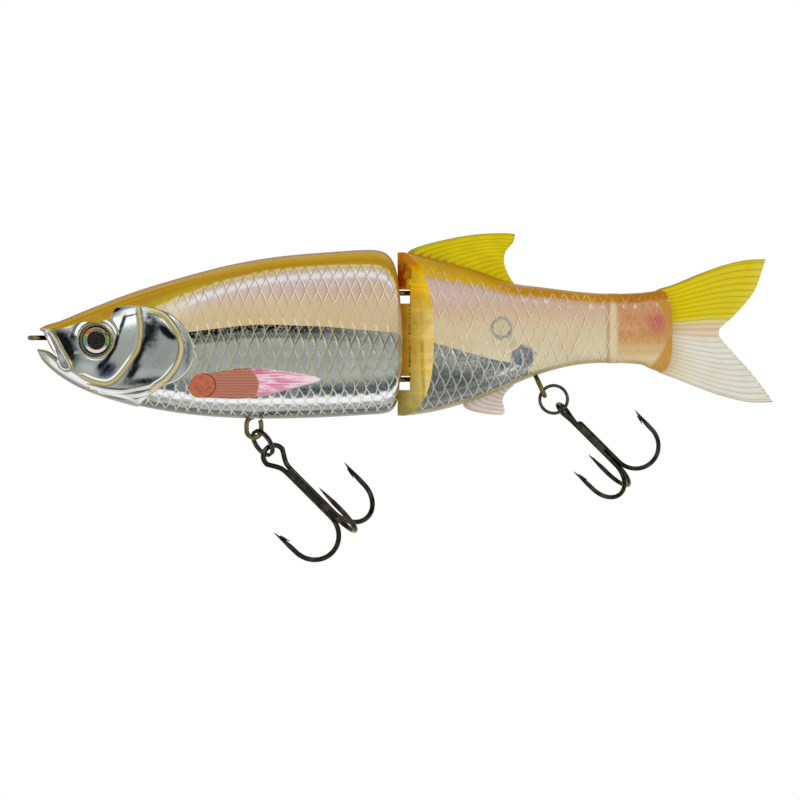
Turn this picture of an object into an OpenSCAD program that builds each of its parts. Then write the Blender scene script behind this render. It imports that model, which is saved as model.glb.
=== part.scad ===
// Two-piece glide swimbait: hard hollow body in two hinged sections, soft fins and tail, two treble hooks.
// Frame: origin at the centre of the line-tie eye, +X towards the tail, +Z up, the fish's left side at -Y.

/* [Body] */
// Length from the lower jaw to the tail tip
body_length = 178; // [170:1:190]
// Half the width of the body at its widest
half_width = 12; // [11:0.5:13]
// Thickness of the moulded shell walls
wall = 1.8; // [1.4:0.1:2.2]

/* [Joint] */
// Most that the rear section swings to each side, in degrees
swing_limit = 30; // [20:1:30]
// Diameter of the hinge pin
pin_d = 1.2; // [1.0:0.1:1.2]
// Side clearance of a pin in its hole
pin_clearance = 0.03; // [0.02:0.01:0.05]

/* [Wire and rings] */
// Diameter of the line-tie, joint and hook-hanger wire
wire_d = 1.2; // [1.0:0.1:1.2]
// Outer diameter of the split rings
ring_d = 7.5; // [7.3:0.1:7.6]
// Axial thickness of a split ring's two coils
ring_t = 1.2; // [1.1:0.1:1.3]

/* [Hooks] */
// Diameter of the front treble's wire
hook_wire_d = 1.25; // [1.1:0.05:1.25]
// Size of the rear treble as a share of the front one
rear_hook_scale = 0.89; // [0.85:0.01:0.92]

/* [Hidden] */
$fn = 48;

k = body_length / 178;         // everything lofted follows the body length
LEFT = -1;
RIGHT = 1;

// Outline control points [x, z] of the two sections, for a 178 mm body
front_top = k * [[0.6, 1.6], [1.7, 2.8], [5.7, 4.1], [11.5, 6.5], [23, 10.9], [35, 14.6], [47, 17.7],
                 [58, 19.6], [70, 20.7], [81, 21.3], [84.2, 20.7], [86, 19], [87.2, 16], [88.1, 11],
                  [88.7, 5]];
front_bottom = k * [[0.6, -3.9], [1.8, -5.8], [5.7, -9.2], [11.5, -12.5], [20, -15.4], [35, -18.3],
                    [50, -19.5], [66, -19.4], [81, -18.6], [84.2, -18.3], [86.2, -17.4], [87.3, -15.4],
                    [88.1, -12], [88.7, -8]];
rear_top = k * [[87.4, 20.6], [89, 20.7], [98, 18.7], [107, 16.1], [115.4, 13.2], [122, 12.3], [130, 11.3],
                [138, 10.7], [146, 10.9], [150.5, 11.5], [154, 12.2]];
rear_bottom = k * [[87.4, -18.6], [89, -18.9], [96, -17.9], [103, -16.1], [109, -14.1], [115, -11.5],
                   [121, -9.1], [127, -7.3], [133, -6.3], [140, -6.1], [146.4, -6.5], [148.4, -7.4],
                    [151, -8.3], [154, -9]];
// Half widths [x, y]
front_width = k * [[0.6, 2.2], [1.3, 3], [3, 4.2], [6, 5.6], [10, 6.9], [15, 8.1], [22, 9.4],
                   [32, 10.7], [44, half_width - 0.5], [60, half_width], [75, half_width - 0.1],
                   [88.7, half_width - 0.4]];
rear_width = k * [[87.4, half_width - 0.5], [96, half_width - 0.8], [105, 9.9], [113, 8.3], [121, 6.6],
                  [130, 5], [140, 4.1], [148, 3.8], [154, 3.6]];
top_power = 2.4;               // superellipse powers of the cross-section above and below its widest level
bottom_power = 2.8;

front_x = k * [0.6, 20, 82, 86.9];      // nose, cavity start, cavity end, rear face on the centre line
rear_x = k * [87.4, 99.5, 136.8, 150.6]; // nose edge, cavity start, cavity end, tail face at top and bottom
dish_slope = 0.145;            // the front section's rear face is a shallow V
nose_slope = 0.76;             // the rear section's nose is a steep V
tail_bulge = k * 3.3;          // how far the rounded tail face stands out at mid height

hinge_x = k * 91;
upper_wire_z = k * 10.8;
lower_wire_z = k * -10.1;
hinge_pin_z = k * [-15.6, 15.4];
slot_centres = k * [10, -10.95];
slot_size = [k * 8, k * 7.8, 3.4];
wire_r = wire_d / 2;
joint_eye_r = pin_d / 2 + wire_r + 0.1;
slot_end = hinge_x + joint_eye_r + wire_r + 0.3;
anchor_r = 2.2;                // centreline radius of the inner anchor loops
anchor_post_r = 1.5;
loop_fillet = 0.8;
line_eye_r = 1.65;
line_anchor_x = k * 13;
joint_anchor_x = k * 77.5;

hanger_r = 1.775;              // half the centreline width of the oval hook hangers
hanger_side = 1.4;             // their straight sides
hanger_wire_r = 0.575;
front_hanger_tip = k * [52.6, -24.175];   // [x, z] of the lowest point of the centreline
front_hanger_anchor = k * [52.6, -11.5];
rear_hanger_tip = k * [123.06, -14.08];
rear_hanger_anchor = k * [112.65, 2.06];
rear_hanger_lean = 24.5;       // from vertical, towards the tail

ring_wire = 0.8;               // radial thickness of a split ring
ring_r = (ring_d - ring_wire) / 2;
front_ring_angle = 55;         // below horizontal, from hanger to ring centre
front_ring_turn = 60;          // between the ring's axis and the Y axis
front_ring_offset = 0.4;       // ring wire from the centre of the hanger's lower arc
hook_seat = 1.65;              // hook eye's end wire from the ring's centre
rear_ring_angle = 21;
rear_hook_seat_angle = 49;
hook_angle = 45;               // both shanks, below horizontal towards the tail

eye_centre = k * [14.7, -0.6]; // [x, z]
eye_r = 4.1;
eye_y = k * 6.4;               // socket floor
eye_turn = 11;                 // the cheeks converge towards the nose
iris_t = 0.4;
dome_h = 1.5;

ballast_r = 4;
ballast_half = 6;
rear_ballast_half = 4.4;
ballast_places = k * [[32, -8.8], [43, -10], [60.6, -10.8], [69.4, -10.8]];
rear_ballast_place = k * [104, -6.8];
front_studs = k * [[26, 5.5], [50, 11], [68, 3]];
rear_studs = k * [[105, 9.5], [124, 2.5], [132, 2.5]];
stud_r = 1;
stud_boss_r = 2.2;
stud_length = 2.4;

fin_t = 1.1;
fin_root = 2.4;                // how deep a fin's root tab sits in the back or belly
plug_x = k * [139.2, 150];
plug_half = 2;
socket_wall = 1.35;
tail_pin_x = k * 141;

// ---------- curves ----------
function segment(p, x, i = 0) = (i >= len(p) - 2 || x <= p[i + 1][0]) ? i : segment(p, x, i + 1);
function slope(p, i) = let(a = max(i - 1, 0), b = min(i + 1, len(p) - 1))
    (p[b][1] - p[a][1]) / (p[b][0] - p[a][0]);
// Height of the smooth curve through the points p at x
function curve(p, x) = let(i = segment(p, x), h = p[i + 1][0] - p[i][0], t = (x - p[i][0]) / h,
                           m0 = slope(p, i) * h, m1 = slope(p, i + 1) * h)
    (2 * t^3 - 3 * t^2 + 1) * p[i][1] + (t^3 - 2 * t^2 + t) * m0 +
    (3 * t^2 - 2 * t^3) * p[i + 1][1] + (t^3 - t^2) * m1;
// Points of a smooth open curve through the points p, n to a span
function through(p, n = 6) = concat([for (i = [0:len(p) - 2], j = [0:n - 1])
    let(t = j / n, m0 = (p[i + 1] - p[max(i - 1, 0)]) / 2, m1 = (p[min(i + 2, len(p) - 1)] - p[i]) / 2)
    (2 * t^3 - 3 * t^2 + 1) * p[i] + (t^3 - 2 * t^2 + t) * m0 +
    (3 * t^2 - 2 * t^3) * p[i + 1] + (t^3 - t^2) * m1],
    [p[len(p) - 1]]);
function unit(v) = v / norm(v);
function arc(c, r, a0, a1, n) = [for (i = [0:n]) let(a = a0 + (a1 - a0) * i / n) c + r * [cos(a), sin(a)]];
function reverse(p) = [for (i = [len(p) - 1:-1:0]) p[i]];
// Points p in the plane at origin o with axes u and v
function place(p, o, u, v) = [for (q = p) o + q[0] * u + q[1] * v];

// How far out the skin stands at [x, z], and how far an inner pillar of radius r can go there
function flank(top, bottom, width, x, z) =
    let(zt = curve(top, x), zb = curve(bottom, x), zc = (zt + zb) / 2,
    p = z > zc ? top_power : bottom_power, h = z > zc ? zt - zc : zc - zb)
    curve(width, x) * pow(1 - pow(min(0.99, abs(z - zc) / h), p), 1 / p);
function reach(top, bottom, width, at, r) =
    min([for (dx = [-r, 0, r], dz = [-r, 0, r])
         flank(top, bottom, width, at[0] + dx, at[1] + dz)]) - wall / 2;
function front_reach(at, r) = reach(front_top, front_bottom, front_width, at, r);
function rear_reach(at, r) = reach(rear_top, rear_bottom, rear_width, at, r);

// ---------- half shells ----------
ring_n = 18;                   // panels round a half section
// One point of the skin: the fraction a of the section runs 0 at the belly, 1 at the back.
// lead(y, z, x) says how far the station's ring leads or lags there.
function skin(top, bottom, width, x, a, inset) =
    let(zt = curve(top, x) - inset, zb = curve(bottom, x) + inset, w = curve(width, x) - inset,
        zc = (zt + zb) / 2, f = -90 + 180 * a, up = f > 0,
        e = 2 / (up ? top_power : bottom_power), h = up ? zt - zc : zc - zb)
    [x, (a == 0 || a == 1) ? 0 : w * pow(cos(f), e), zc + sign(f) * h * pow(abs(sin(f)), e)];
function spaced(x0, x1, n) = [for (i = [0:n]) x0 + (x1 - x0) * i / n];
// Stations crowd towards the end where the outline turns
function crowd(x0, x1, n, to_end) = [for (i = [0:n]) let(t = i / n)
    x0 + (x1 - x0) * (to_end ? 1 - pow(1 - t, 2) : pow(t, 2))];

function front_skin(x, a, inset) =
    let(p = skin(front_top, front_bottom, front_width, x, a, inset),
        fade = max(0, (x - front_x[2]) / (front_x[3] - front_x[2])))
    fade == 0 ? p : skin(front_top, front_bottom, front_width, x + dish_slope * p[1] * fade, a, inset);
function rear_skin(x, a, inset) =
    let(p = skin(rear_top, rear_bottom, rear_width, x, a, inset),
        nose = max(0, (rear_x[1] - x) / (rear_x[1] - rear_x[0])),
        tail = max(0, (x - rear_x[2]) / (rear_x[3] - rear_x[2])),
        lead = nose * nose_slope * p[1] + tail * tail_bulge * (1 - pow(abs(2 * a - 1), 2.6)))
    lead == 0 ? p : skin(rear_top, rear_bottom, rear_width, x + lead, a, inset);

front_skin_fn = function(x, a) front_skin(x, a, 0);
rear_skin_fn = function(x, a) rear_skin(x, a, 0);
// Parting-face points between the end ring's ends at x: on a straight line, or following a ring that bulges
function parting_points(f, x, follow) = [for (j = [1:ring_n - 1]) let(p = f(x, j / ring_n),
    zb = f(x, 0)[2], zt = f(x, 1)[2])
    follow ? [p[0], 0, p[2]] : [x, 0, zb + (zt - zb) * (1 - cos(180 * j / ring_n)) / 2]];

// Closed polyhedron of one half: outer skin, cavity, and the flat parting face between them.
// nose_line and tail_line are the parting-face points that close the two ends.
module half_shell(side, outer, inner, first, last, nose_line, tail_line) {
    m = ring_n;
    n = len(outer) - 1;
    c = len(inner) - 1;
    points = concat([for (r = outer) each r], [for (r = inner) each r], nose_line, tail_line);
    o = function(i, j) i * (m + 1) + j;
    q = function(i, j) (n + 1 + i) * (m + 1) + j;
    start = (n + c + 2) * (m + 1);
    s = function(j) j == 0 ? o(0, 0) : j == m ? o(0, m) : start + j - 1;
    e = function(j) j == 0 ? o(n, 0) : j == m ? o(n, m) : start + m - 1 + j - 1;
    faces = concat(
        [for (i = [0:n - 1], j = [0:m - 1]) each [[o(i, j), o(i + 1, j), o(i + 1, j + 1)],
                                                  [o(i, j), o(i + 1, j + 1), o(i, j + 1)]]],
        [for (i = [0:c - 1], j = [0:m - 1]) each [[q(i, j), q(i + 1, j + 1), q(i + 1, j)],
                                                  [q(i, j), q(i, j + 1), q(i + 1, j + 1)]]],
        [[for (j = [m:-1:0]) q(0, j)], [for (j = [0:m]) q(c, j)]],
        [for (j = [0:m - 1]) j == 0 ? [s(0), o(0, 1), s(1)]
            : j == m - 1 ? [s(j), o(0, j), s(m)] : [s(j), o(0, j), o(0, j + 1), s(j + 1)]],
        [for (j = [0:m - 1]) j == 0 ? [e(0), e(1), o(n, 1)]
            : j == m - 1 ? [e(j), e(m), o(n, j)] : [e(j), e(j + 1), o(n, j + 1), o(n, j)]],
        [for (i = [0:c - 1]) each [[o(first + i, 0), q(i, 0), o(first + i + 1, 0)],
                                   [q(i, 0), q(i + 1, 0), o(first + i + 1, 0)],
                                   [q(i, m), o(first + i, m), o(first + i + 1, m)],
                                   [q(i, m), o(first + i + 1, m), q(i + 1, m)]]],
        // the solid ends of the parting face
        [concat([o(1, 0), o(0, 0)], [for (j = [1:m - 1]) s(j)], [o(0, m), o(1, m)])],
        [for (i = [1:first - 2]) [o(i + 1, 0), o(i, 0), o(i, m), o(i + 1, m)]],
        [[o(first - 1, 0), o(first - 1, m), o(first, m), q(0, m), q(0, 0), o(first, 0)]],
        [[o(last + 1, m), o(last + 1, 0), o(last, 0), q(c, 0), q(c, m), o(last, m)]],
        [for (i = [last + 1:n - 2]) [o(i + 1, m), o(i + 1, 0), o(i, 0), o(i, m)]],
        [concat([o(n - 1, 0), o(n - 1, m), o(n, m)], [for (j = [m - 1:-1:1]) e(j)], [o(n, 0)])]);
    polyhedron([for (p = points) [p[0], p[1] * side, p[2]]],
               [for (f = faces) side > 0 ? f : concat([f[0]], [for (i = [len(f) - 1:-1:1]) f[i]])]);
}

module front_half(side) {
    before = crowd(front_x[0], front_x[1], 9, false);
    within = spaced(front_x[1], front_x[2], 15);
    after = crowd(front_x[2], front_x[3], 6, true);
    stations = concat(before, [for (i = [1:15]) within[i]], [for (i = [1:6]) after[i]]);
    half_shell(side, [for (x = stations) [for (j = [0:ring_n]) front_skin(x, j / ring_n, 0)]],
               [for (x = within) [for (j = [0:ring_n]) front_skin(x, j / ring_n, wall)]], 9, 24,
               parting_points(front_skin_fn, front_x[0], false),
               parting_points(front_skin_fn, front_x[3], false));
}

module rear_half(side) {
    before = spaced(rear_x[0], rear_x[1], 5);
    within = spaced(rear_x[1], rear_x[2], 10);
    after = spaced(rear_x[2], rear_x[3], 8);
    stations = concat(before, [for (i = [1:10]) within[i]], [for (i = [1:8]) after[i]]);
    half_shell(side, [for (x = stations) [for (j = [0:ring_n]) rear_skin(x, j / ring_n, 0)]],
               [for (x = within) [for (j = [0:ring_n]) rear_skin(x, j / ring_n, wall)]], 5, 15,
               parting_points(rear_skin_fn, rear_x[0], false),
               parting_points(rear_skin_fn, rear_x[3], true));
}

// A cylinder along Y at [x, z], from y0 to y1 on the given side
module across(side, at, r, y0, y1) {
    translate([at[0], 0, at[1]]) rotate([-90 * side, 0, 0]) translate([0, 0, y0])
        cylinder(r = r, h = y1 - y0);
}

// Recess for a wire's anchor loop round its post
module anchor_pocket(at) {
    depth = wire_r + 0.05;
    difference() {
        across(RIGHT, at, anchor_r + wire_r + 0.1, -depth, depth);
        across(RIGHT, at, anchor_post_r, -depth - 1, depth + 1);
    }
}

module channel(from, to, r) {
    d = to - from;
    translate(from) rotate([0, acos(d[2] / norm(d)), atan2(d[1], d[0])]) cylinder(r = r, h = norm(d));
}

module ballast_cup(side, at, y1, half = ballast_half) { across(side, at, ballast_r + 1.1, half - 2.5, y1); }
module ballast_bore(side, at) { across(side, at, ballast_r + 0.05, -1, ballast_half + 0.1); }

module eye_frame(side) {
    translate([eye_centre[0], side * eye_y, eye_centre[1]]) rotate([-90 * side, 0, 0])
        rotate([0, -eye_turn, 0]) children();
}

module front_shell(side) {
    difference() {
        union() {
            front_half(side);
            for (p = front_studs) across(side, p, stud_boss_r, 0, front_reach(p, stud_boss_r));
            if (side == LEFT) for (p = front_studs) across(RIGHT, p, stud_r, -0.5, stud_length);
            for (p = ballast_places) ballast_cup(side, p, front_reach(p, ballast_r + 1.1));
            for (p = [[joint_anchor_x, upper_wire_z], [joint_anchor_x, lower_wire_z], front_hanger_anchor])
                across(side, p, anchor_post_r, 0, front_reach(p, anchor_post_r));
        }
        for (p = ballast_places) ballast_bore(side, p);
        mouth();
        eye_frame(side) cylinder(r = eye_r + 0.05, h = 6);
        anchor_pocket([line_anchor_x, 0]);
        channel([0, 0, 0], [line_anchor_x - anchor_r, 0, 0], wire_r + 0.05);
        for (z = [upper_wire_z, lower_wire_z])
            channel([front_x[2] - 1, 0, z], [hinge_x, 0, z], wire_r + 0.05);
        channel([front_hanger_anchor[0], 0, front_bottom_z() - 3],
                [front_hanger_anchor[0], 0, front_bottom_z() + 4], wire_r + 0.05);
        hanger_recess();
        if (side == RIGHT) for (p = front_studs) across(RIGHT, p, stud_r + 0.05, -1, stud_length + 0.3);
    }
}

function front_bottom_z() = curve(front_bottom, front_hanger_anchor[0]);

// The top of the oval hanger sits in a shallow recess in the belly
module hanger_recess() {
    w = hanger_r + hanger_wire_r + 0.15;
    translate([front_hanger_anchor[0] - w, -hanger_wire_r - 0.1, front_bottom_z() - 1])
        cube([2 * w, 2 * hanger_wire_r + 0.2, 2.2]);
}

// The open mouth, a wedge between the lip and the lower jaw
module mouth() {
    rotate([90, 0, 0]) translate([0, 0, -10]) linear_extrude(20)
        polygon(k * [[4.2, -4.0], [1.7, 1.9], [1.2, 2.4], [-2, 3.2], [-2, -1.6], [0.9, -2.6]]);
}

module front_shell_left() { color("goldenrod") front_shell(LEFT); }
module front_shell_right() { color("goldenrod") front_shell(RIGHT); }

module rear_shell(side) {
    hanger_bend = rear_hanger_bend();
    inward = unit(rear_hanger_anchor - hanger_bend);
    difference() {
        union() {
            rear_half(side);
            for (p = rear_studs) across(side, p, stud_boss_r, 0, rear_reach(p, stud_boss_r));
            if (side == LEFT) for (p = rear_studs) across(RIGHT, p, stud_r, -0.5, stud_length);
            ballast_cup(side, rear_ballast_place, rear_reach(rear_ballast_place, ballast_r + 1.1),
                        rear_ballast_half);
            across(side, rear_hanger_anchor, anchor_post_r, 0,
                   rear_reach(rear_hanger_anchor, anchor_post_r));
        }
        across(side, rear_ballast_place, ballast_r + 0.05, -1, rear_ballast_half + 0.1);
        for (z = slot_centres)
            translate([slot_end - slot_size[0], -slot_size[1] / 2, z - slot_size[2] / 2]) cube(slot_size);
        translate([hinge_x, 0, -25]) cylinder(r = pin_d / 2 + pin_clearance, h = 25 + hinge_pin_z[1] + 0.2);
        translate([hinge_x, 0, -25]) cylinder(r = plug_r + 0.03, h = 25 + hinge_pin_z[0] - 0.1);
        channel(flat(hanger_bend), flat(rear_hanger_tip), wire_r + 0.25);
        channel(flat(hanger_bend - inward), flat(hanger_bend + 5 * inward), wire_r + 0.45);
        rotate([90, 0, 0]) translate([0, 0, -fin_t / 2 - 0.05]) linear_extrude(fin_t + 0.1) dorsal_slot();
        rotate([90, 0, 0]) translate([0, 0, -fin_t / 2 - 0.05]) linear_extrude(fin_t + 0.1) anal_slot();
        rotate([90, 0, 0]) translate([0, 0, -plug_half - 0.05])
            linear_extrude(2 * plug_half + 0.1) tail_socket(0.05);
        rotate([90, 0, 0]) translate([0, 0, -tail_plate_t / 2 - 0.05]) linear_extrude(tail_plate_t + 0.1)
            polygon(k * [[148.8, -12], [148.8, 16], [160, 16], [160, -12]]);
        translate([tail_pin_x, 0, k * -5.8]) cylinder(r = pin_d / 2 + pin_clearance, h = 30);
        if (side == RIGHT) for (p = rear_studs) across(RIGHT, p, stud_r + 0.05, -1, stud_length + 0.3);
    }
}

plug_r = 1.25;
tail_plate_t = 1.4;
function flat(p) = [p[0], 0, p[1]];
function rear_hanger_bend() = let(a = 90 + rear_hanger_lean)
    rear_hanger_tip - (2 * hanger_r + hanger_side + 0.9) * [-cos(a), -sin(a)];

module rear_shell_left() { color("khaki") rear_shell(LEFT); }
module rear_shell_right() { color("khaki") rear_shell(RIGHT); }

// ---------- fins ----------
dorsal_edge = k * [[91, 21.3], [96, 22.9], [102, 24.5], [108, 25.2], [113.5, 25.4], [116.1, 25.1],
                   [115.4, 23.1], [113.5, 20.9], [113.5, 18], [114.6, 14.9], [115.6, 13.5]];
anal_edge = k * [[103, -16.6], [106, -18], [109.5, -18.5], [112.8, -18.8], [113.5, -18.2], [113.3, -16.6],
                 [112.9, -15], [113.8, -13.1], [115.6, -11.7]];
tail_edge = k * [[150.4, 11.7], [154.5, 13], [160, 15.3], [166, 17.5], [171.5, 18.8], [176.7, 19.2],
                 [175.2, 15.2], [173.7, 10.8], [170.6, 6.5], [165, 1.3],
                 [169, -3.4], [173, -8], [176, -11.8], [178.6, -15.7],
                 [172.5, -15.7], [166, -14.1], [160, -12], [155, -10], [151, -8.6]];

// Root line of a fin, a steady depth under the skin line p between two x
function root_line(p, x0, x1, depth) =
    [for (i = [0:8]) let(x = x0 + (x1 - x0) * i / 8) [x, curve(p, x) + depth]];
module dorsal_outline() {
    polygon(concat(through(dorsal_edge), reverse(root_line(rear_top, k * 92, k * 114, -fin_root))));
}
module anal_outline() {
    polygon(concat(through(anal_edge), reverse(root_line(rear_bottom, k * 104.5, k * 114.5, fin_root))));
}
module dorsal_slot() {
    polygon(concat(root_line(rear_top, k * 90.9, k * 115.8, 2),
                   reverse(root_line(rear_top, k * 90.9, k * 115.8, -fin_root - 0.05))));
}
module anal_slot() {
    polygon(concat(root_line(rear_bottom, k * 102.9, k * 115.8, -2),
                   reverse(root_line(rear_bottom, k * 102.9, k * 115.8, fin_root + 0.05))));
}
module tail_socket(grow) {
    to = plug_x[1] + (grow > 0 ? 8 : 0);
    polygon(concat(root_line(rear_top, plug_x[0] - grow, to, grow - socket_wall),
                   reverse(root_line(rear_bottom, plug_x[0] - grow, to, socket_wall - grow))));
}

module plate(t) { rotate([90, 0, 0]) translate([0, 0, -t / 2]) linear_extrude(t) children(); }

module dorsal_fin() { color("yellow") plate(fin_t) dorsal_outline(); }
module anal_fin() { color("mistyrose") plate(fin_t) anal_outline(); }
module tail_fin() {
    color("gold") difference() {
        union() {
            plate(2 * plug_half) tail_socket(0);
            plate(tail_plate_t) polygon(concat(through(tail_edge), k * [[149, -5.5], [149, 9]]));
        }
        translate([tail_pin_x, 0, k * -12]) cylinder(r = pin_d / 2 + pin_clearance, h = 30);
    }
}

module hinge_pin() {
    color("silver") translate([hinge_x, 0, hinge_pin_z[0]])
        cylinder(d = pin_d, h = hinge_pin_z[1] - hinge_pin_z[0]);
}
module hinge_pin_plug() {
    color("khaki") translate([hinge_x, 0, hinge_pin_z[0] - 2.3]) cylinder(r = plug_r, h = 2);
}
module tail_lock_pin() {
    color("silver") translate([tail_pin_x, 0, k * -5.7]) cylinder(d = pin_d, h = k * 16);
}

// ---------- eyes ----------
module eye_iris(side) { color("orange") eye_frame(side) cylinder(r = eye_r, h = iris_t); }
module eye_dome(side) {
    cap_r = (eye_r^2 + dome_h^2) / (2 * dome_h);
    color("white") eye_frame(side) translate([0, 0, iris_t]) rotate_extrude($fn = 64)
        polygon(concat([[0, 0]], arc([0, dome_h - cap_r], cap_r, 90 - asin(eye_r / cap_r), 90, 12)));
}
module left_eye_iris() { eye_iris(LEFT); }
module left_eye_dome() { eye_dome(LEFT); }
module right_eye_iris() { eye_iris(RIGHT); }
module right_eye_dome() { eye_dome(RIGHT); }

module ballast(at, half) { color("dimgray") across(RIGHT, at, ballast_r, -half, half); }
module front_ballast_1() { ballast(ballast_places[0], ballast_half); }
module front_ballast_2() { ballast(ballast_places[1], ballast_half); }
module front_ballast_3() { ballast(ballast_places[2], ballast_half); }
module front_ballast_4() { ballast(ballast_places[3], ballast_half); }
module rear_ballast() { ballast(rear_ballast_place, rear_ballast_half); }

// ---------- wire forms ----------
// Turns the vector v by the rotation that takes the direction a to the direction b
function carry(v, a, b) = let(c = a * b, x = cross(a, b)) norm(x) < 1e-6 ? v
    : v * c + cross(x, v) + x * (x * v) / (1 + c);
function normals(path, i = 0, found = []) = i == len(path) ? found
    : let(a = i == 0 ? unit(path[1] - path[0]) : unit(path[i] - path[i - 1]),
          b = i >= len(path) - 1 ? a : unit(path[i + 1] - path[max(i - 1, 0)]),
          last = i == 0 ? 0 : found[i - 1],
          fresh = i == 0 ? unit(cross(b, abs(b[1]) < 0.7 ? [0, 1, 0] : [0, 0, 1]))
                          : carry(last[0], last[1], b))
      normals(path, i + 1, concat(found, [[fresh, b]]));

// Round wire along a path of points, with one radius a point
module sweep(path, radii, sides = 10) {
    frames = normals(path);
    n = len(path) - 1;
    points = [for (i = [0:n], j = [0:sides - 1]) let(a = 360 * j / sides, u = unit(frames[i][0]),
              v = cross(frames[i][1], u)) path[i] + radii[i] * (cos(a) * u + sin(a) * v)];
    faces = concat([for (i = [0:n - 1], j = [0:sides - 1]) let(h = (j + 1) % sides)
                    each [[i * sides + j, i * sides + h, (i + 1) * sides + h],
                          [i * sides + j, (i + 1) * sides + h, (i + 1) * sides + j]]],
                   [[for (j = [sides - 1:-1:0]) j], [for (j = [0:sides - 1]) n * sides + j]]);
    polyhedron(points, [for (f = faces) reverse(f)]);
}
module wire(path, r, sides = 10) { sweep(path, [for (p = path) r], sides); }

// A round eye at the end of a shank that comes along +u from below 0: [along, aside] from the eye's centre
function eye_loop(r, f, n = 22) = let(reach = sqrt(r * r + 2 * r * f), bend = atan2(f, reach))
    concat(arc([-reach, -f], f, 90, bend, 4), [for (p = arc([0, 0], r, 180 + bend, 480, n)) p]);
// The same, but oval: two half circles of radius r and straight sides s, the tip at [0, 0]
function oval_loop(r, s, f, n = 12) =
    let(c = -r, b = -r - s, reach = sqrt(r * r + 2 * r * f), bend = atan2(f, reach),
        shoulder = arc([b, 0], r, 180 + bend, 270, 5))
    concat(arc([b - reach, -f], f, 90, bend, 4), [for (i = [1:5]) shoulder[i]],
           arc([c, 0], r, -90, 90, n), arc([b, 0], r, 90, 128, 3));

X = [1, 0, 0];
Y = [0, 1, 0];
Z = [0, 0, 1];

// A wire with an eye at one end and an anchor loop, in the XZ plane, at the other
module anchored_wire(tip_loop, anchor, out, aside) {
    inner = place(eye_loop(anchor_r, loop_fillet), anchor, -out, cross(Y, out));
    wire(concat(reverse(inner), tip_loop), wire_r);
}

module line_tie_wire() {
    anchor = [line_anchor_x, 0, 0];
    color("darkkhaki")
        anchored_wire(place(eye_loop(line_eye_r, loop_fillet), [0, 0, 0], -X, Y), anchor, -X);
}
module joint_wire(z) {
    color("darkkhaki") anchored_wire(place(eye_loop(joint_eye_r, loop_fillet), [hinge_x, 0, z], X, Y),
                                     [joint_anchor_x, 0, z], X);
}
module upper_joint_wire() { joint_wire(upper_wire_z); }
module lower_joint_wire() { joint_wire(lower_wire_z); }

module front_hook_hanger() {
    tip = [front_hanger_tip[0], 0, front_hanger_tip[1]];
    loop = place(oval_loop(hanger_r, hanger_side, loop_fillet), tip, -Z, X);
    anchor = [front_hanger_anchor[0], 0, front_hanger_anchor[1]];
    inner = place(eye_loop(anchor_r, loop_fillet), anchor, Z, X);
    color("darkkhaki") wire(concat(reverse(inner), loop), hanger_wire_r);
}
module rear_hook_hanger() {
    tip = [rear_hanger_tip[0], 0, rear_hanger_tip[1]];
    out = [sin(rear_hanger_lean), 0, -cos(rear_hanger_lean)];
    loop = place(oval_loop(hanger_r, hanger_side, loop_fillet), tip, out, Y);
    anchor = [rear_hanger_anchor[0], 0, rear_hanger_anchor[1]];
    run = unit(loop[0] - anchor);
    inner = place(eye_loop(anchor_r, loop_fillet), anchor, -run, cross(Y, run));
    color("darkkhaki") wire(concat(reverse(inner), loop), hanger_wire_r);
}

// ---------- split rings and trebles ----------
// Turns its children so that their +Z lies along n and their +X along g, and moves them to c
module stand(c, g, n) {
    w = cross(n, g);
    multmatrix([[g[0], w[0], n[0], c[0]], [g[1], w[1], n[1], c[1]], [g[2], w[2], n[2], c[2]], [0, 0, 0, 1]])
        children();
}
function below(a) = [cos(a), 0, -sin(a)];

front_arc = [front_hanger_tip[0], 0, front_hanger_tip[1] + hanger_r];
front_ring_g = below(front_ring_angle);
front_ring_c = front_arc + (front_ring_offset + ring_r) * front_ring_g;
front_ring_n = cos(front_ring_turn) * Y + sin(front_ring_turn) * cross(front_ring_g, Y);
front_hook_at = front_ring_c + hook_seat * front_ring_g;

rear_wire_gap = ring_r - ring_wire / 2 - hanger_wire_r - 0.06;
rear_ring_c = [rear_hanger_tip[0], 0, rear_hanger_tip[1]] + rear_wire_gap * below(rear_ring_angle);
rear_hook_at = rear_ring_c + hook_seat * below(rear_hook_seat_angle);

module split_ring(c, g, n) {
    color("gray") stand(c, g, n) rotate_extrude($fn = 64) translate([ring_r, 0])
        square([ring_wire, ring_t], center = true);
}
module front_split_ring() { split_ring(front_ring_c, front_ring_g, front_ring_n); }
module rear_split_ring() { split_ring(rear_ring_c, below(rear_ring_angle), Y); }

// Treble hook. Its own frame: the eye's end wire at the origin, the shank along +X, bends round the X axis.
eye_half = 2.35;               // centreline half length of the hook eye
eye_oval = 1.12;               // how much wider than long it is
neck_x = 7;
bend_x = 22.6;                 // where the bends leave the shank
bend_r = 6.45;
point_x = 15.6;
point_taper = 5.2;             // length of the sharpened point
shank_r = 0.73;                // the three wires' centres from the shank's axis
// One bend in its own plane, [along, out], from the shank to the point
function hook_bend() =
    concat([[bend_x - 6, shank_r]], arc([bend_x, shank_r + bend_r], bend_r, -90, 90, 16),
           [for (t = [0.25:0.25:1]) [bend_x - (bend_x - point_x) * t, shank_r + 2 * bend_r + 0.5 * t]]);
function bend_radii(r) = [for (p = hook_bend()) p[1] < shank_r + bend_r ? r
                          : r * min(1, max(0.06, (p[0] - point_x) / point_taper))];
function turned(p, a) = [for (q = p) [q[0], q[1] * cos(a), q[1] * sin(a)]];

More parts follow.
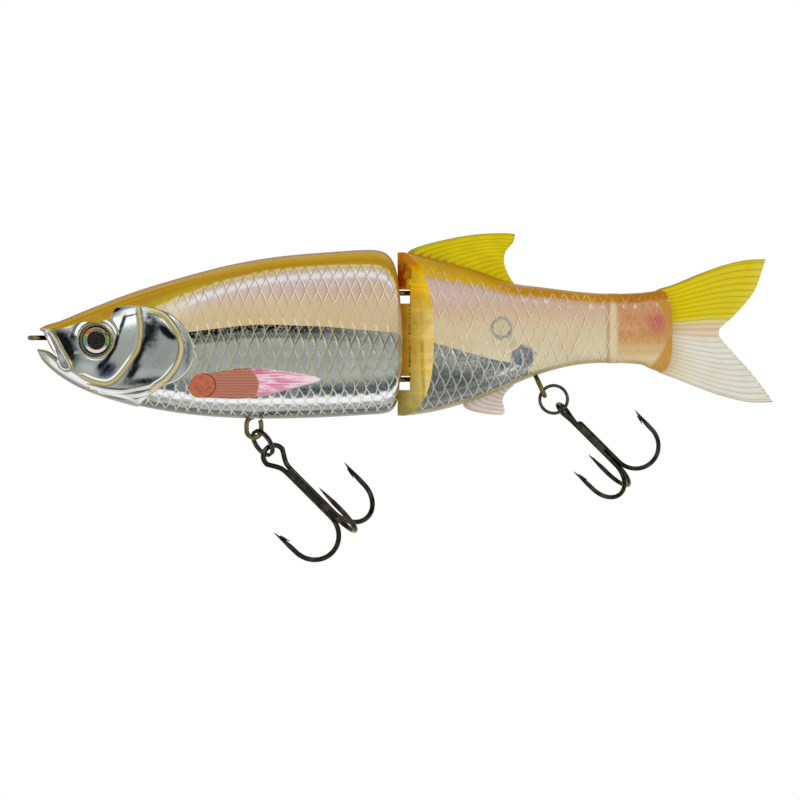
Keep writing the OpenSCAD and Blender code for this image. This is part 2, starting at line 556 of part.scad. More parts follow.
// Two bends and the eye between them, from one wire. They stand at the angles +60 and -60 degrees.
module treble_double(r) {
    s = r / (hook_wire_d / 2);
    side = shank_r * sin(60);
    out = turned(hook_bend(), 60);
    lift = shank_r * cos(60);
    half_eye = concat([[neck_x, side], [neck_x - 1.6, side + 0.35]],
                      arc([eye_half, 0], eye_half, 75, 180, 9));
    eye = [for (p = half_eye) [p[0], lift * p[0] / neck_x * (p[0] > eye_half ? 1 : 0.3), p[1] * eye_oval]];
    across_eye = [for (p = eye) [p[0], p[1], -p[2]]];
    half_path = concat(reverse(out), [[neck_x + 3, lift, side]], eye);
    other = concat([for (i = [len(eye) - 2:-1:0]) across_eye[i]], [[neck_x + 3, lift, -side]],
                   turned(hook_bend(), -60));
    radii = concat(reverse(bend_radii(r)), [for (i = [1:2 * len(eye) + 1]) r], bend_radii(r));
    sweep(concat(half_path, other), radii, 8);
}
// The third bend, brazed against the other two
module treble_single(r) {
    path = concat([[neck_x + 0.6, -shank_r, 0]], turned(hook_bend(), 180));
    sweep(path, concat([r], bend_radii(r)), 8);
}

module front_hook_frame() { stand(front_hook_at, below(hook_angle), Y) rotate([80, 0, 0]) children(); }
module rear_hook_frame() {
    stand(rear_hook_at, below(hook_angle), Y) rotate([15, 0, 0]) scale(rear_hook_scale) children();
}
module front_treble_double() { color("dimgray") front_hook_frame() treble_double(hook_wire_d / 2); }
module front_treble_single() { color("dimgray") front_hook_frame() treble_single(hook_wire_d / 2); }
module rear_treble_double() { color("dimgray") rear_hook_frame() treble_double(hook_wire_d / 2); }
module rear_treble_single() { color("dimgray") rear_hook_frame() treble_single(hook_wire_d / 2); }

front_shell_left();
front_shell_right();
line_tie_wire();
upper_joint_wire();
lower_joint_wire();
front_hook_hanger();
left_eye_iris();
left_eye_dome();
right_eye_iris();
right_eye_dome();
front_ballast_1();
front_ballast_2();
front_ballast_3();
front_ballast_4();
rear_shell_left();
rear_shell_right();
hinge_pin();
hinge_pin_plug();
rear_hook_hanger();
rear_ballast();
dorsal_fin();
anal_fin();
tail_fin();
tail_lock_pin();
front_split_ring();
front_treble_double();
front_treble_single();
rear_split_ring();
rear_treble_double();
rear_treble_single();
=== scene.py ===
import math

import bpy
import numpy as np
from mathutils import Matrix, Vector


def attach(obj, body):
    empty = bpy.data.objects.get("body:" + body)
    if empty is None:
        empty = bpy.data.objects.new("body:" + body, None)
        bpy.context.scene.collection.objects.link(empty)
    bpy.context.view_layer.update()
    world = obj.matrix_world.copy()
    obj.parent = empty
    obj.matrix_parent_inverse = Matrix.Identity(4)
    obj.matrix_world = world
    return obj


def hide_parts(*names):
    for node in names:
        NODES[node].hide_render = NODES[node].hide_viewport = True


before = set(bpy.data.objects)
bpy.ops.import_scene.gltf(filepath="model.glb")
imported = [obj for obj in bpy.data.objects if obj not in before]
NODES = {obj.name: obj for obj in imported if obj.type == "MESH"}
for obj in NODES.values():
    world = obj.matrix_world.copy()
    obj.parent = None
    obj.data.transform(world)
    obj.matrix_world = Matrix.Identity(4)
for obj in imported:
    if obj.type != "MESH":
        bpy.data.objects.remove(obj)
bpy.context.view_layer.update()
MM = 0.001
LEFT, RIGHT = -1, 1
SIDE_NAMES = {LEFT: "left", RIGHT: "right"}
MIDDLE = (0.088, 0, 0)         # of the lure, in metres


# ---------- camera, light and floor ----------
def linked(name, data):
    """A new object in the scene."""
    obj = bpy.data.objects.new(name, data)
    bpy.context.scene.collection.objects.link(obj)
    return obj


def set_stops(ramp, stops):
    """Gives a Color Ramp node its stops (position, colour)."""
    elements = ramp.color_ramp.elements
    while len(elements) < len(stops):
        elements.new(0.5)
    for element, (position, colour) in zip(elements, stops):
        element.position = position
        element.color = colour


def camera():
    """A long lens level with the lure, square on to its left side, as in the photograph."""
    data = bpy.data.cameras.new("camera")
    data.lens = 400
    data.sensor_width = 36
    data.clip_end = 20
    obj = linked("camera", data)
    obj.location = (MIDDLE[0], -2.1534, -0.01506)
    obj.rotation_euler = (math.radians(90), 0, 0)
    bpy.context.scene.camera = obj


def softbox(name, place, size, power):
    """A rectangular lamp that faces the middle of the lure."""
    data = bpy.data.lights.new(name, "AREA")
    data.shape = "RECTANGLE"
    data.size, data.size_y = size
    data.energy = power
    obj = linked(name, data)
    obj.location = place
    obj.rotation_euler = (obj.location - Vector(MIDDLE)).to_track_quat("Z", "Y").to_euler()


def studio_world():
    """White to the camera. The lure gets a little less light, and least from above."""
    world = bpy.data.worlds.new("studio")
    bpy.context.scene.world = world
    world.use_nodes = True
    tree = world.node_tree
    tree.nodes.clear()
    out = tree.nodes.new("ShaderNodeOutputWorld")
    mix = tree.nodes.new("ShaderNodeMixShader")
    seen = tree.nodes.new("ShaderNodeBackground")
    lit = tree.nodes.new("ShaderNodeBackground")
    seen.inputs["Color"].default_value = (1, 1, 1, 1)
    seen.inputs["Strength"].default_value = 1.0
    lit.inputs["Strength"].default_value = 0.85
    path = tree.nodes.new("ShaderNodeLightPath")
    coords = tree.nodes.new("ShaderNodeTexCoord")
    split = tree.nodes.new("ShaderNodeSeparateXYZ")
    ramp = tree.nodes.new("ShaderNodeValToRGB")
    rise = tree.nodes.new("ShaderNodeMapRange")
    rise.inputs["From Min"].default_value = -1
    tree.links.new(coords.outputs["Generated"], split.inputs[0])
    tree.links.new(split.outputs["Z"], rise.inputs["Value"])
    tree.links.new(rise.outputs[0], ramp.inputs[0])
    stops = [(0.0, 0.85), (0.4, 0.8), (0.5, 0.85), (0.6, 0.85), (0.72, 0.7), (0.85, 0.6), (1.0, 0.6)]
    set_stops(ramp, [(position, (value, value, value, 1)) for position, value in stops])
    tree.links.new(ramp.outputs["Color"], lit.inputs["Color"])
    tree.links.new(path.outputs["Is Camera Ray"], mix.inputs[0])
    tree.links.new(lit.outputs[0], mix.inputs[1])
    tree.links.new(seen.outputs[0], mix.inputs[2])
    tree.links.new(mix.outputs[0], out.inputs["Surface"])


def studio():
    camera()
    studio_world()
    softbox("key", place=(-0.35, -0.9, 0.7), size=(0.9, 0.5), power=3.2)
    softbox("fill", place=(0.75, -0.8, 0.3), size=(0.6, 0.6), power=1.6)
    softbox("back", place=(0.1, 0.9, 0.8), size=(1.0, 0.6), power=3)


# ---------- node trees written as arithmetic ----------
class Num:
    """A number in a node tree. Arithmetic on it adds Math nodes."""

    def __init__(self, tree, socket):
        self.tree, self.socket = tree, socket

    def math(self, kind, *others):
        node = self.tree.nodes.new("ShaderNodeMath")
        node.operation = kind
        for i, value in enumerate((self, *others)):
            if isinstance(value, Num):
                self.tree.links.new(value.socket, node.inputs[i])
            else:
                node.inputs[i].default_value = value
        return Num(self.tree, node.outputs[0])

    def __add__(self, o):
        return self.math("ADD", o)

    def __sub__(self, o):
        return self.math("SUBTRACT", o)

    def __mul__(self, o):
        return self.math("MULTIPLY", o)

    def __truediv__(self, o):
        return self.math("DIVIDE", o)

    def __radd__(self, o):
        return self.math("ADD", o)

    def __rmul__(self, o):
        return self.math("MULTIPLY", o)

    def __rsub__(self, o):
        return self.math("MULTIPLY", -1.0).math("ADD", o)

    def __neg__(self):
        return self.math("MULTIPLY", -1.0)

    def abs(self):
        return self.math("ABSOLUTE")

    def sin(self):
        return self.math("SINE")

    def cos(self):
        return self.math("COSINE")

    def floor(self):
        return self.math("FLOOR")

    def min(self, o):
        return self.math("MINIMUM", o)

    def max(self, o):
        return self.math("MAXIMUM", o)

    def rise(self, low, high):
        """0 below low, 1 above high, smooth between."""
        node = self.tree.nodes.new("ShaderNodeMapRange")
        node.interpolation_type = "SMOOTHSTEP"
        self.tree.links.new(self.socket, node.inputs["Value"])
        node.inputs["From Min"].default_value = low
        node.inputs["From Max"].default_value = high
        return Num(self.tree, node.outputs[0])

    def fall(self, low, high):
        return 1.0 - self.rise(low, high)

    def band(self, low, high, soft):
        """1 between low and high, with edges soft wide."""
        return self.rise(low - soft / 2, low + soft / 2) * self.fall(high - soft / 2, high + soft / 2)


def rgb(text):
    """A colour from its hexadecimal name, in the linear values that nodes take."""
    values = [int(text[i:i + 2], 16) / 255 for i in (1, 3, 5)]
    return (*[v / 12.92 if v < 0.04045 else ((v + 0.055) / 1.055) ** 2.4 for v in values], 1.0)


class Finish:
    """A material being made: one Principled shader and the tree that feeds it."""

    def __init__(self, name, **constants):
        self.material = bpy.data.materials.new(name)
        self.material.use_nodes = True
        self.tree = self.material.node_tree
        self.shader = self.tree.nodes["Principled BSDF"]
        for key, value in constants.items():
            self.shader.inputs[key.replace("_", " ")].default_value = value

    def attribute(self, name):
        node = self.tree.nodes.new("ShaderNodeAttribute")
        node.attribute_name = name
        return Num(self.tree, node.outputs["Fac"])

    def place(self):
        """Object coordinates in millimetres."""
        if not hasattr(self, "axes"):
            coords = self.tree.nodes.new("ShaderNodeTexCoord")
            self.coords = coords.outputs["Object"]
            split = self.tree.nodes.new("ShaderNodeSeparateXYZ")
            self.tree.links.new(self.coords, split.inputs[0])
            self.axes = [Num(self.tree, split.outputs[i]) / MM for i in range(3)]
        return self.axes

    def distance(self, x0, z0, across=1.0, up=1.0):
        """Distance on the side view from a place, its squares weighted by across and up."""
        x, _, z = self.place()
        return ((x - x0) * (x - x0) * across + (z - z0) * (z - z0) * up).math("SQRT")

    def noise(self, size, detail=3.0, stretch=(1, 1, 1), lift=0.5):
        """Noise whose grain is about size millimetres, from 0 to 1."""
        self.place()
        mapping = self.tree.nodes.new("ShaderNodeMapping")
        mapping.inputs["Scale"].default_value = [1 / (MM * size * s) for s in stretch]
        self.tree.links.new(self.coords, mapping.inputs["Vector"])
        node = self.tree.nodes.new("ShaderNodeTexNoise")
        node.inputs["Scale"].default_value = 1.0
        node.inputs["Detail"].default_value = detail
        node.inputs["Roughness"].default_value = lift
        self.tree.links.new(mapping.outputs[0], node.inputs["Vector"])
        return Num(self.tree, node.outputs["Fac"])

    def mix(self, below, above, share):
        """The colour below, covered by the colour above as far as share says."""
        node = self.tree.nodes.new("ShaderNodeMix")
        node.data_type = "RGBA"
        for socket, colour in ((node.inputs[6], below), (node.inputs[7], above)):
            if isinstance(colour, str):
                socket.default_value = rgb(colour)
            else:
                self.tree.links.new(colour, socket)
        if isinstance(share, Num):
            self.tree.links.new(share.socket, node.inputs[0])
        else:
            node.inputs[0].default_value = share
        return node.outputs[2]

    def layers(self, base, *covers):
        colour = base
        for cover, share in covers:
            colour = self.mix(colour, cover, share)
        return colour

    def ramp(self, number, *stops):
        """A colour that follows a number through the stops (number, colour)."""
        low, high = stops[0][0], stops[-1][0]
        node = self.tree.nodes.new("ShaderNodeValToRGB")
        self.tree.links.new(((number - low) / (high - low)).socket, node.inputs[0])
        set_stops(node, [((at - low) / (high - low), rgb(colour)) for at, colour in stops])
        return node.outputs[0]

    def set(self, socket, value):
        value = value.socket if isinstance(value, Num) else value
        if isinstance(value, (float, int)):
            self.shader.inputs[socket].default_value = value
        elif isinstance(value, str):
            self.shader.inputs[socket].default_value = rgb(value)
        else:
            self.tree.links.new(value, self.shader.inputs[socket])

    def bump(self, height, distance, strength=1.0):
        """Bump from a height, 1 of it being distance millimetres."""
        node = self.tree.nodes.new("ShaderNodeBump")
        node.inputs["Strength"].default_value = strength
        node.inputs["Distance"].default_value = distance * MM
        self.tree.links.new(height.socket, node.inputs["Height"])
        self.tree.links.new(node.outputs[0], self.shader.inputs["Normal"])


# ---------- curves and meshes ----------
def hermite(t, a, b, m0, m1):
    """Cubic from a to b that leaves a with slope m0 and meets b with slope m1, at t of the way."""
    return ((2 * t ** 3 - 3 * t ** 2 + 1) * a + (t ** 3 - 2 * t ** 2 + t) * m0
            + (3 * t ** 2 - 2 * t ** 3) * b + (t ** 3 - t ** 2) * m1)


def curve(points, x):
    """Height of the smooth curve through the points at x: the same one that the CAD shells follow."""
    xs, ys = np.array(points, float).T
    slope = np.empty(len(xs))
    slope[1:-1] = (ys[2:] - ys[:-2]) / (xs[2:] - xs[:-2])
    slope[0] = (ys[1] - ys[0]) / (xs[1] - xs[0])
    slope[-1] = (ys[-1] - ys[-2]) / (xs[-1] - xs[-2])
    i = np.clip(np.searchsorted(xs, x) - 1, 0, len(xs) - 2)
    h = xs[i + 1] - xs[i]
    t = (x - xs[i]) / h
    return hermite(t, ys[i], ys[i + 1], slope[i] * h, slope[i + 1] * h)


def through(points, n=8, closed=False):
    """Points of a smooth curve through the given ones, n to a span."""
    p = np.array(points, float)
    count = len(p)
    spans = count if closed else count - 1
    t = (np.arange(n) / n)[:, None]
    out = []
    for i in range(spans):
        if closed:
            a, b, c, d = p[i - 1], p[i], p[(i + 1) % count], p[(i + 2) % count]
        else:
            a, b, c, d = p[max(i - 1, 0)], p[i], p[i + 1], p[min(i + 2, count - 1)]
        out.append(hermite(t, b, c, (c - a) / 2, (d - b) / 2))
    if not closed:
        out.append(p[-1:])
    return np.concatenate(out)


def smooth(value, low, high):
    t = np.clip((value - low) / (high - low), 0, 1)
    return t * t * (3 - 2 * t)


def ridge(distance, width):
    """A bell of height 1 along the places where the distance is 0."""
    return np.exp(-(distance / width) ** 2)


def distance_to_line(x, z, line):
    """Distance from each place to an open line, and how far along the line that is, 0 to 1."""
    best = np.full(x.shape, 1e9)
    along = np.zeros(x.shape)
    spans = len(line) - 1
    for i in range(spans):
        (ax, az), (bx, bz) = line[i], line[i + 1]
        dx, dz = bx - ax, bz - az
        t = np.clip(((x - ax) * dx + (z - az) * dz) / max(dx * dx + dz * dz, 1e-9), 0, 1)
        d = np.hypot(x - ax - t * dx, z - az - t * dz)
        along = np.where(d < best, (i + t) / spans, along)
        best = np.minimum(best, d)
    return best, along


def outline_distance(x, z, outline):
    """Signed distance to a closed outline, negative inside."""
    loop = np.vstack([outline, outline[:1]])
    d, _ = distance_to_line(x, z, loop)
    inside = np.zeros(x.shape, bool)
    for (ax, az), (bx, bz) in zip(loop[:-1], loop[1:]):
        if az != bz:
            inside ^= ((az > z) != (bz > z)) & (x < (bx - ax) * (z - az) / (bz - az) + ax)
    return np.where(inside, -d, d)


def build(name, verts, faces, body, materials, slot, replaces=(), fields=None, sharp=40, face_slots=None):
    """A mesh object from points in millimetres, riding on a body."""
    mesh = bpy.data.meshes.new(name)
    mesh.from_pydata((np.asarray(verts, float) * MM).tolist(), [], faces)
    mesh.validate()
    for material in materials:
        mesh.materials.append(material)
    for key, values in (fields or {}).items():
        layer = mesh.attributes.new(key, "FLOAT", "POINT")
        layer.data.foreach_set("value", np.asarray(values, np.float32).ravel())
    if face_slots is not None:
        mesh.polygons.foreach_set("material_index", np.asarray(face_slots, np.int32))
    mesh.shade_smooth()
    mesh.set_sharp_from_angle(angle=math.radians(sharp))
    mesh.update()
    obj = linked(name, mesh)
    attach(obj, body)
    if replaces:
        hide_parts(*replaces)
    return obj


def tube(path, radii, sides=16, closed=False, flat=1.0, up=None):
    """Skin of a round wire along a path. flat squashes it along the second of its own axes."""
    path = np.asarray(path, float)
    n = len(path)
    radii = np.broadcast_to(radii, n)
    ahead = np.roll(path, -1, 0) - np.roll(path, 1, 0)
    if not closed:
        ahead[0], ahead[-1] = path[1] - path[0], path[-1] - path[-2]
    ahead /= np.linalg.norm(ahead, axis=1)[:, None]
    if up is None:
        up = np.cross(ahead[0], [0, 1, 0] if abs(ahead[0][1]) < 0.7 else [0, 0, 1])
    u = np.array(up, float)
    frames = []
    for t in ahead:
        u = u - t * np.dot(u, t)
        u = u / np.linalg.norm(u)
        frames.append(u)
    angles = 2 * math.pi * np.arange(sides) / sides
    cos, sin = np.cos(angles)[:, None], np.sin(angles)[:, None]
    verts = np.concatenate([p + r * (cos * f + flat * sin * np.cross(t, f))
                            for p, r, t, f in zip(path, radii, ahead, frames)])
    faces = []
    for i in range(n if closed else n - 1):
        a, b = i * sides, (i + 1) % n * sides
        faces += [(a + j, a + (j + 1) % sides, b + (j + 1) % sides, b + j) for j in range(sides)]
    if not closed:
        faces += [tuple(range(sides - 1, -1, -1)), tuple((n - 1) * sides + j for j in range(sides))]
    return verts, faces


def joined(*parts):
    """Several meshes as one."""
    verts, faces, start = [], [], 0
    for v, f in parts:
        verts.append(np.asarray(v))
        faces += [tuple(i + start for i in face) for face in f]
        start += len(v)
    return np.concatenate(verts), faces


# ---------- the body's shape, as in the CAD ----------
FRONT_TOP = [[0.6, 1.6], [1.7, 2.8], [5.7, 4.1], [11.5, 6.5], [23, 10.9], [35, 14.6], [47, 17.7],
             [58, 19.6], [70, 20.7], [81, 21.3], [84.2, 20.7], [86, 19], [87.2, 16], [88.1, 11], [88.7, 5]]
FRONT_BOTTOM = [[0.6, -3.9], [1.8, -5.8], [5.7, -9.2], [11.5, -12.5], [20, -15.4], [35, -18.3], [50, -19.5],
                [66, -19.4], [81, -18.6], [84.2, -18.3], [86.2, -17.4], [87.3, -15.4], [88.1, -12],
                [88.7, -8]]
FRONT_WIDTH = [[0.6, 2.2], [1.3, 3], [3, 4.2], [6, 5.6], [10, 6.9], [15, 8.1], [22, 9.4], [32, 10.7],
               [44, 11.5], [60, 12], [75, 11.9], [88.7, 11.6]]
REAR_TOP = [[87.4, 20.6], [89, 20.7], [98, 18.7], [107, 16.1], [115.4, 13.2], [122, 12.3], [130, 11.3],
            [138, 10.7], [146, 10.9], [150.5, 11.5], [154, 12.2]]
REAR_BOTTOM = [[87.4, -18.6], [89, -18.9], [96, -17.9], [103, -16.1], [109, -14.1], [115, -11.5],
               [121, -9.1], [127, -7.3], [133, -6.3], [140, -6.1], [146.4, -6.5], [148.4, -7.4],
               [151, -8.3], [154, -9]]
REAR_WIDTH = [[87.4, 11.5], [96, 11.2], [105, 9.9], [113, 8.3], [121, 6.6], [130, 5], [140, 4.1],
              [148, 3.8], [154, 3.6]]
TOP_POWER, BOTTOM_POWER = 2.4, 2.8
WALL = 1.8
FRONT_X = [0.6, 20, 82, 86.9]
REAR_X = [87.4, 99.5, 136.8, 150.6]
DISH_SLOPE, NOSE_SLOPE, TAIL_BULGE = 0.145, 0.76, 3.3
EYE = (14.7, -0.6)
EYE_R, EYE_Y, EYE_TURN, IRIS_T, DOME_H = 4.1, 6.4, 11, 0.4, 1.5
HINGE_X = 91
SLOT_END, SLOT_CUT = HINGE_X + 2.2, 8
SLOT_CENTRES, SLOT_HALF_WIDTH, SLOT_HEIGHT = (10, -10.95), 3.9, 3.4


def skin(outline, x, a, inset=0.0):
    """Points of the skin at station x, a running from 0 at the belly to 1 at the back."""
    top, bottom, width = outline
    zt, zb, w = curve(top, x) - inset, curve(bottom, x) + inset, curve(width, x) - inset
    zc, f = (zt + zb) / 2, math.pi * (a - 0.5)
    power = np.where(f > 0, 2 / TOP_POWER, 2 / BOTTOM_POWER)
    h = np.where(f > 0, zt - zc, zc - zb)
    y = w * np.clip(np.cos(f), 0, 1) ** power
    z = zc + np.sign(f) * h * np.abs(np.sin(f)) ** power
    return x, y, z


def front_skin(x, a, inset=0.0):
    outline = (FRONT_TOP, FRONT_BOTTOM, FRONT_WIDTH)
    _, y, _ = skin(outline, x, a, inset)
    fade = np.clip((x - FRONT_X[2]) / (FRONT_X[3] - FRONT_X[2]), 0, 1)
    return skin(outline, x + DISH_SLOPE * y * fade, a, inset)


def rear_skin(x, a, inset=0.0):
    outline = (REAR_TOP, REAR_BOTTOM, REAR_WIDTH)
    _, y, _ = skin(outline, x, a, inset)
    nose = np.clip((REAR_X[1] - x) / (REAR_X[1] - REAR_X[0]), 0, 1)
    tail = np.clip((x - REAR_X[2]) / (REAR_X[3] - REAR_X[2]), 0, 1)
    lead = nose * NOSE_SLOPE * y + tail * TAIL_BULGE * (1 - np.abs(2 * a - 1) ** 2.0)
    return skin(outline, x + lead, a, inset)


def even_girth(outline, x, count):
    """Values of a that space points evenly round the section at station x."""
    a = np.linspace(0, 1, 4001)
    _, y, z = skin(outline, np.full(a.shape, float(x)), a)
    length = np.concatenate([[0], np.cumsum(np.hypot(np.diff(y), np.diff(z)))])
    values = np.interp(np.linspace(0, length[-1], count + 1), length, a)
    values[0], values[-1] = 0, 1
    return values


# ---------- scales ----------
SCALE_PITCH = 2.706            # from one scale to the next along the body
SCALE_START = 52.76            # one crossing of the scale lines lies here
SCALE_ROW = 3.4                # half the height of a diamond
ROW_LEVEL = 1.35               # level of the row 0


def rows(y, z):
    """Scale rows: the way round the skin from the level of row 0, in row heights."""
    out = np.empty(z.shape)
    for i in range(z.shape[0]):
        way = np.concatenate([[0], np.cumsum(np.hypot(np.diff(y[i]), np.diff(z[i])))])
        out[i] = (way - np.interp(ROW_LEVEL, z[i], way)) / SCALE_ROW
    return out


def scale_lines(x, row, sin, cos, floor, absolute):
    """Signed distances along the body, in millimetres, from the two families of scale lines, with + on
    the tail side. Each scale is pointed in front and at its top and bottom, and round behind."""
    u = (x - SCALE_START) / SCALE_PITCH
    first = u - absolute(sin(row * (math.pi / 2))) * 0.5
    second = u + 0.5 - absolute(cos(row * (math.pi / 2))) * 0.5
    return [(w - floor(w + 0.5)) * SCALE_PITCH for w in (first, second)]


def scale_relief(x, row):
    first, second = scale_lines(x, row, np.sin, np.cos, np.floor, np.abs)
    d = np.minimum(np.abs(first), np.abs(second))
    return 0.05 * smooth(d, 0, 0.55) - 0.1 * ridge(d, 0.2)


# ---------- head and pectoral fin outlines, [x, z] ----------
CHROME_TOP = [[1.2, 2.0], [4, 1.9], [6.5, 2.3], [9.5, 3.2], [11.5, 3.6], [16.5, 4.0], [18.4, 4.6],
              [18.9, 6.8], [20.4, 7.5], [24, 7.7], [28, 7.3], [32.6, 5.8]]
PREOPERCLE = through([[25.0, 6.9], [25.5, 2.9], [25.1, -1.9], [23.7, -4.7], [20.1, -9.4], [17.3, -11.0],
                      [14.0, -10.5], [11.0, -9.2]])
OPERCLE = through([[24.8, 6.9], [28.7, 6.9], [31.8, 5.4], [34.6, 2.0], [35.9, -1.0], [35.9, -4.1],
                   [34.6, -7.4], [32.1, -10.5], [29.3, -12.4], [25.1, -15.6], [20.5, -15], [15, -13.4],
                   [11.5, -11.2], [17.3, -11.2], [20.1, -9.6], [23.7, -4.9], [25.1, -1.9], [25.4, 2.9]],
                   closed=True)
GILL = through([[32.4, 5.9], [35.7, 3.0], [37.9, -0.8], [38.5, -4.1], [37.5, -7.4], [34.4, -10.4],
                [30.0, -12.1], [25.2, -15.7], [24.0, -18]])
HEAD = np.vstack([GILL, [[22, -24], [-6, -24], [-6, 2.0], [0.5, 2.0]],
                  [[x, curve(CHROME_TOP, np.array([x]))[0]] for x in np.linspace(1.2, 32.3, 40)]])
MAXILLA = through([[1.9, 1.9], [3.4, 2.0], [5.0, 0.2], [6.9, -3.1], [8.9, -6.5], [8.5, -7.9], [6.9, -8.0],
                   [5.5, -6.8], [4.2, -3.1], [2.9, -0.6]], closed=True)
MOUTH = through([[5.2, -5.2], [3.6, -2.5], [2.2, 0.3], [1.4, 1.6], [-2, 3.0], [-3, -1.5], [0.6, -2.75],
                 [1.6, -2.9], [3.2, -3.5]], n=4, closed=True)
PECTORAL = through([[39.4, -8.6], [42.2, -8.5], [49.6, -7.4], [57, -7.8], [64.4, -8.7], [68.9, -10.2],
                    [62.6, -12.1], [57, -13.6], [50, -14.7], [42.2, -14.5], [38.3, -14.2], [37, -11.5]],
                    closed=True)
FOIL_EDGE = [[30, 0.6], [37, 1.3], [46, 2.4], [52, 3.0], [57, 3.1], [62.5, 2.9], [70, 2.6], [77, 2.0],
             [83, 1.5], [88, 1.1], [90, 0.9]]
REAR_FOIL_EDGE = [[87, 0.9], [95.6, -1.1], [105.4, -3.9], [111, -5.4], [115.5, -6.3], [119.5, -8.2],
                  [124, -12], [160, -40]]
# Depth of the amber back's lower edge under the top line, [x, depth]
AMBER_FRONT = [[0, 2.8], [12, 4.8], [20, 5.6], [28, 5.4], [34, 4.5], [45, 3.6], [60, 3.2], [75, 3.4],
               [88, 4.0]]
AMBER_REAR = [[87, 4.5], [98, 4.4], [107, 3.5], [113, 2.8], [125, 2.3], [137, 2.2], [160, 2.4]]
# Painted reflections on the chromed head, its soft light and dark places: [x, z, half length, half width,
# slope in degrees, brightness]
HEAD_REFLECTIONS = [[7.14, 2.3, 2.18, 0.48, 18, 0.9], [7.14, -1.94, 4.84, 2.06, -63, -0.95],
              [9.81, -3.63, 0.53, 0.39, 0, 0.1], [9.08, 0.24, 1.21, 0.73, -50, -0.6],
              [12.96, -7.02, 2.18, 1.33, -15, 0.12], [17.32, -7.75, 2.18, 1.45, 30, -0.8],
              [19.98, 0.73, 2.18, 0.73, 75, 0.25], [21.19, 3.63, 1.94, 0.41, 70, -1.0],
              [19.86, -0.24, 2.42, 0.41, 72, -1.0], [18.04, -4.12, 2.18, 0.41, 55, -1.0],
              [16.11, -6.54, 1.45, 0.58, 40, -0.9], [23.01, 0.73, 4.12, 1.26, 84, 0.03],
              [20.71, -3.88, 1.94, 0.97, 50, 0.0], [22.65, 6.39, 2.3, 0.58, 12, 0.75],
              [19.5, 6.66, 1.21, 0.46, 20, -0.95], [23.13, 5.28, 1.7, 0.19, 14, -0.7],
              [27.97, 2.3, 5.1, 2.06, 88, -0.62], [27.49, 3.88, 0.73, 0.73, 0, -0.35],
              [30.64, -4.6, 5.09, 2.06, 56, -0.12], [31.61, 1.45, 1.94, 0.87, -48, -1.0],
              [33.06, 0.24, 0.97, 0.53, -30, -1.0], [25.31, -3.63, 4.36, 0.73, 66, -0.95],
              [23.61, -8.23, 2.42, 0.85, 48, -0.75], [26.28, -10.41, 4.84, 0.87, 8, -0.6],
              [31.85, 3.63, 3.15, 0.29, -54, 0.9], [36.94, -3.63, 4.12, 0.73, 86, -0.3],
              [10.05, -9.69, 5.81, 0.44, -33, 0.95], [19.74, -13.2, 8.23, 0.44, -7, 0.6],
              [19.74, -12.35, 7.27, 0.19, -4, -0.6], [27.49, -13.56, 2.91, 0.82, 32, 0.95],
              [3.27, -4.6, 1.21, 0.27, -50, -0.6], [4.24, -5.93, 2.42, 0.29, -47, 0.9],
              [2.66, 1.82, 0.48, 0.36, -45, 0.6]]
BRANCHIOSTEGALS = [through([[13.4, -11.9], [20.7, -12.9], [28.5, -11.4]]),
                   through([[15.4, -13.0], [22.1, -14.1], [27.2, -13.0]])]


def head_reflection(x, z):
    """How light or dark the painted reflections make the chromed head, -1 to 1."""
    tone = np.zeros(x.shape)
    for cx, cz, long, wide, slope, value in HEAD_REFLECTIONS:
        s, c = math.sin(math.radians(slope)), math.cos(math.radians(slope))
        along, across = (x - cx) * c + (z - cz) * s, (z - cz) * c - (x - cx) * s
        tone = tone * (1 - np.exp(-((along / long) ** 2 + (across / wide) ** 2)))
        tone = tone + value * np.exp(-((along / long) ** 2 + (across / wide) ** 2))
    return tone


def front_fields(x, y, z):
    """Numbers that the front section's relief and colours are worked out from."""
    eye = np.hypot(x - EYE[0], z - EYE[1])
    pre, pre_along = distance_to_line(x, z, PREOPERCLE)
    ribs = np.minimum(*[distance_to_line(x, z, line)[0] for line in BRANCHIOSTEGALS])
    return {
        "row": rows(y, z),
        "depth": curve(FRONT_TOP, x) - z,
        "height": z - curve(FRONT_BOTTOM, x),
        "over_foil": z - curve(FOIL_EDGE, x),
        "head": outline_distance(x, z, HEAD),
        "opercle": outline_distance(x, z, OPERCLE),
        "gill": distance_to_line(x, z, GILL)[0],
        "preopercle": pre * np.where(pre_along > 0.98, 1.5, 1),
        "maxilla": outline_distance(x, z, MAXILLA),
        "mouth": outline_distance(x, z, MOUTH),
        "eye": eye,
        "ribs": ribs,
        "pectoral": outline_distance(x, z, PECTORAL),
        "tone": head_reflection(x, z),
        "amber": curve(FRONT_TOP, x) - z - curve(AMBER_FRONT, x),
    }


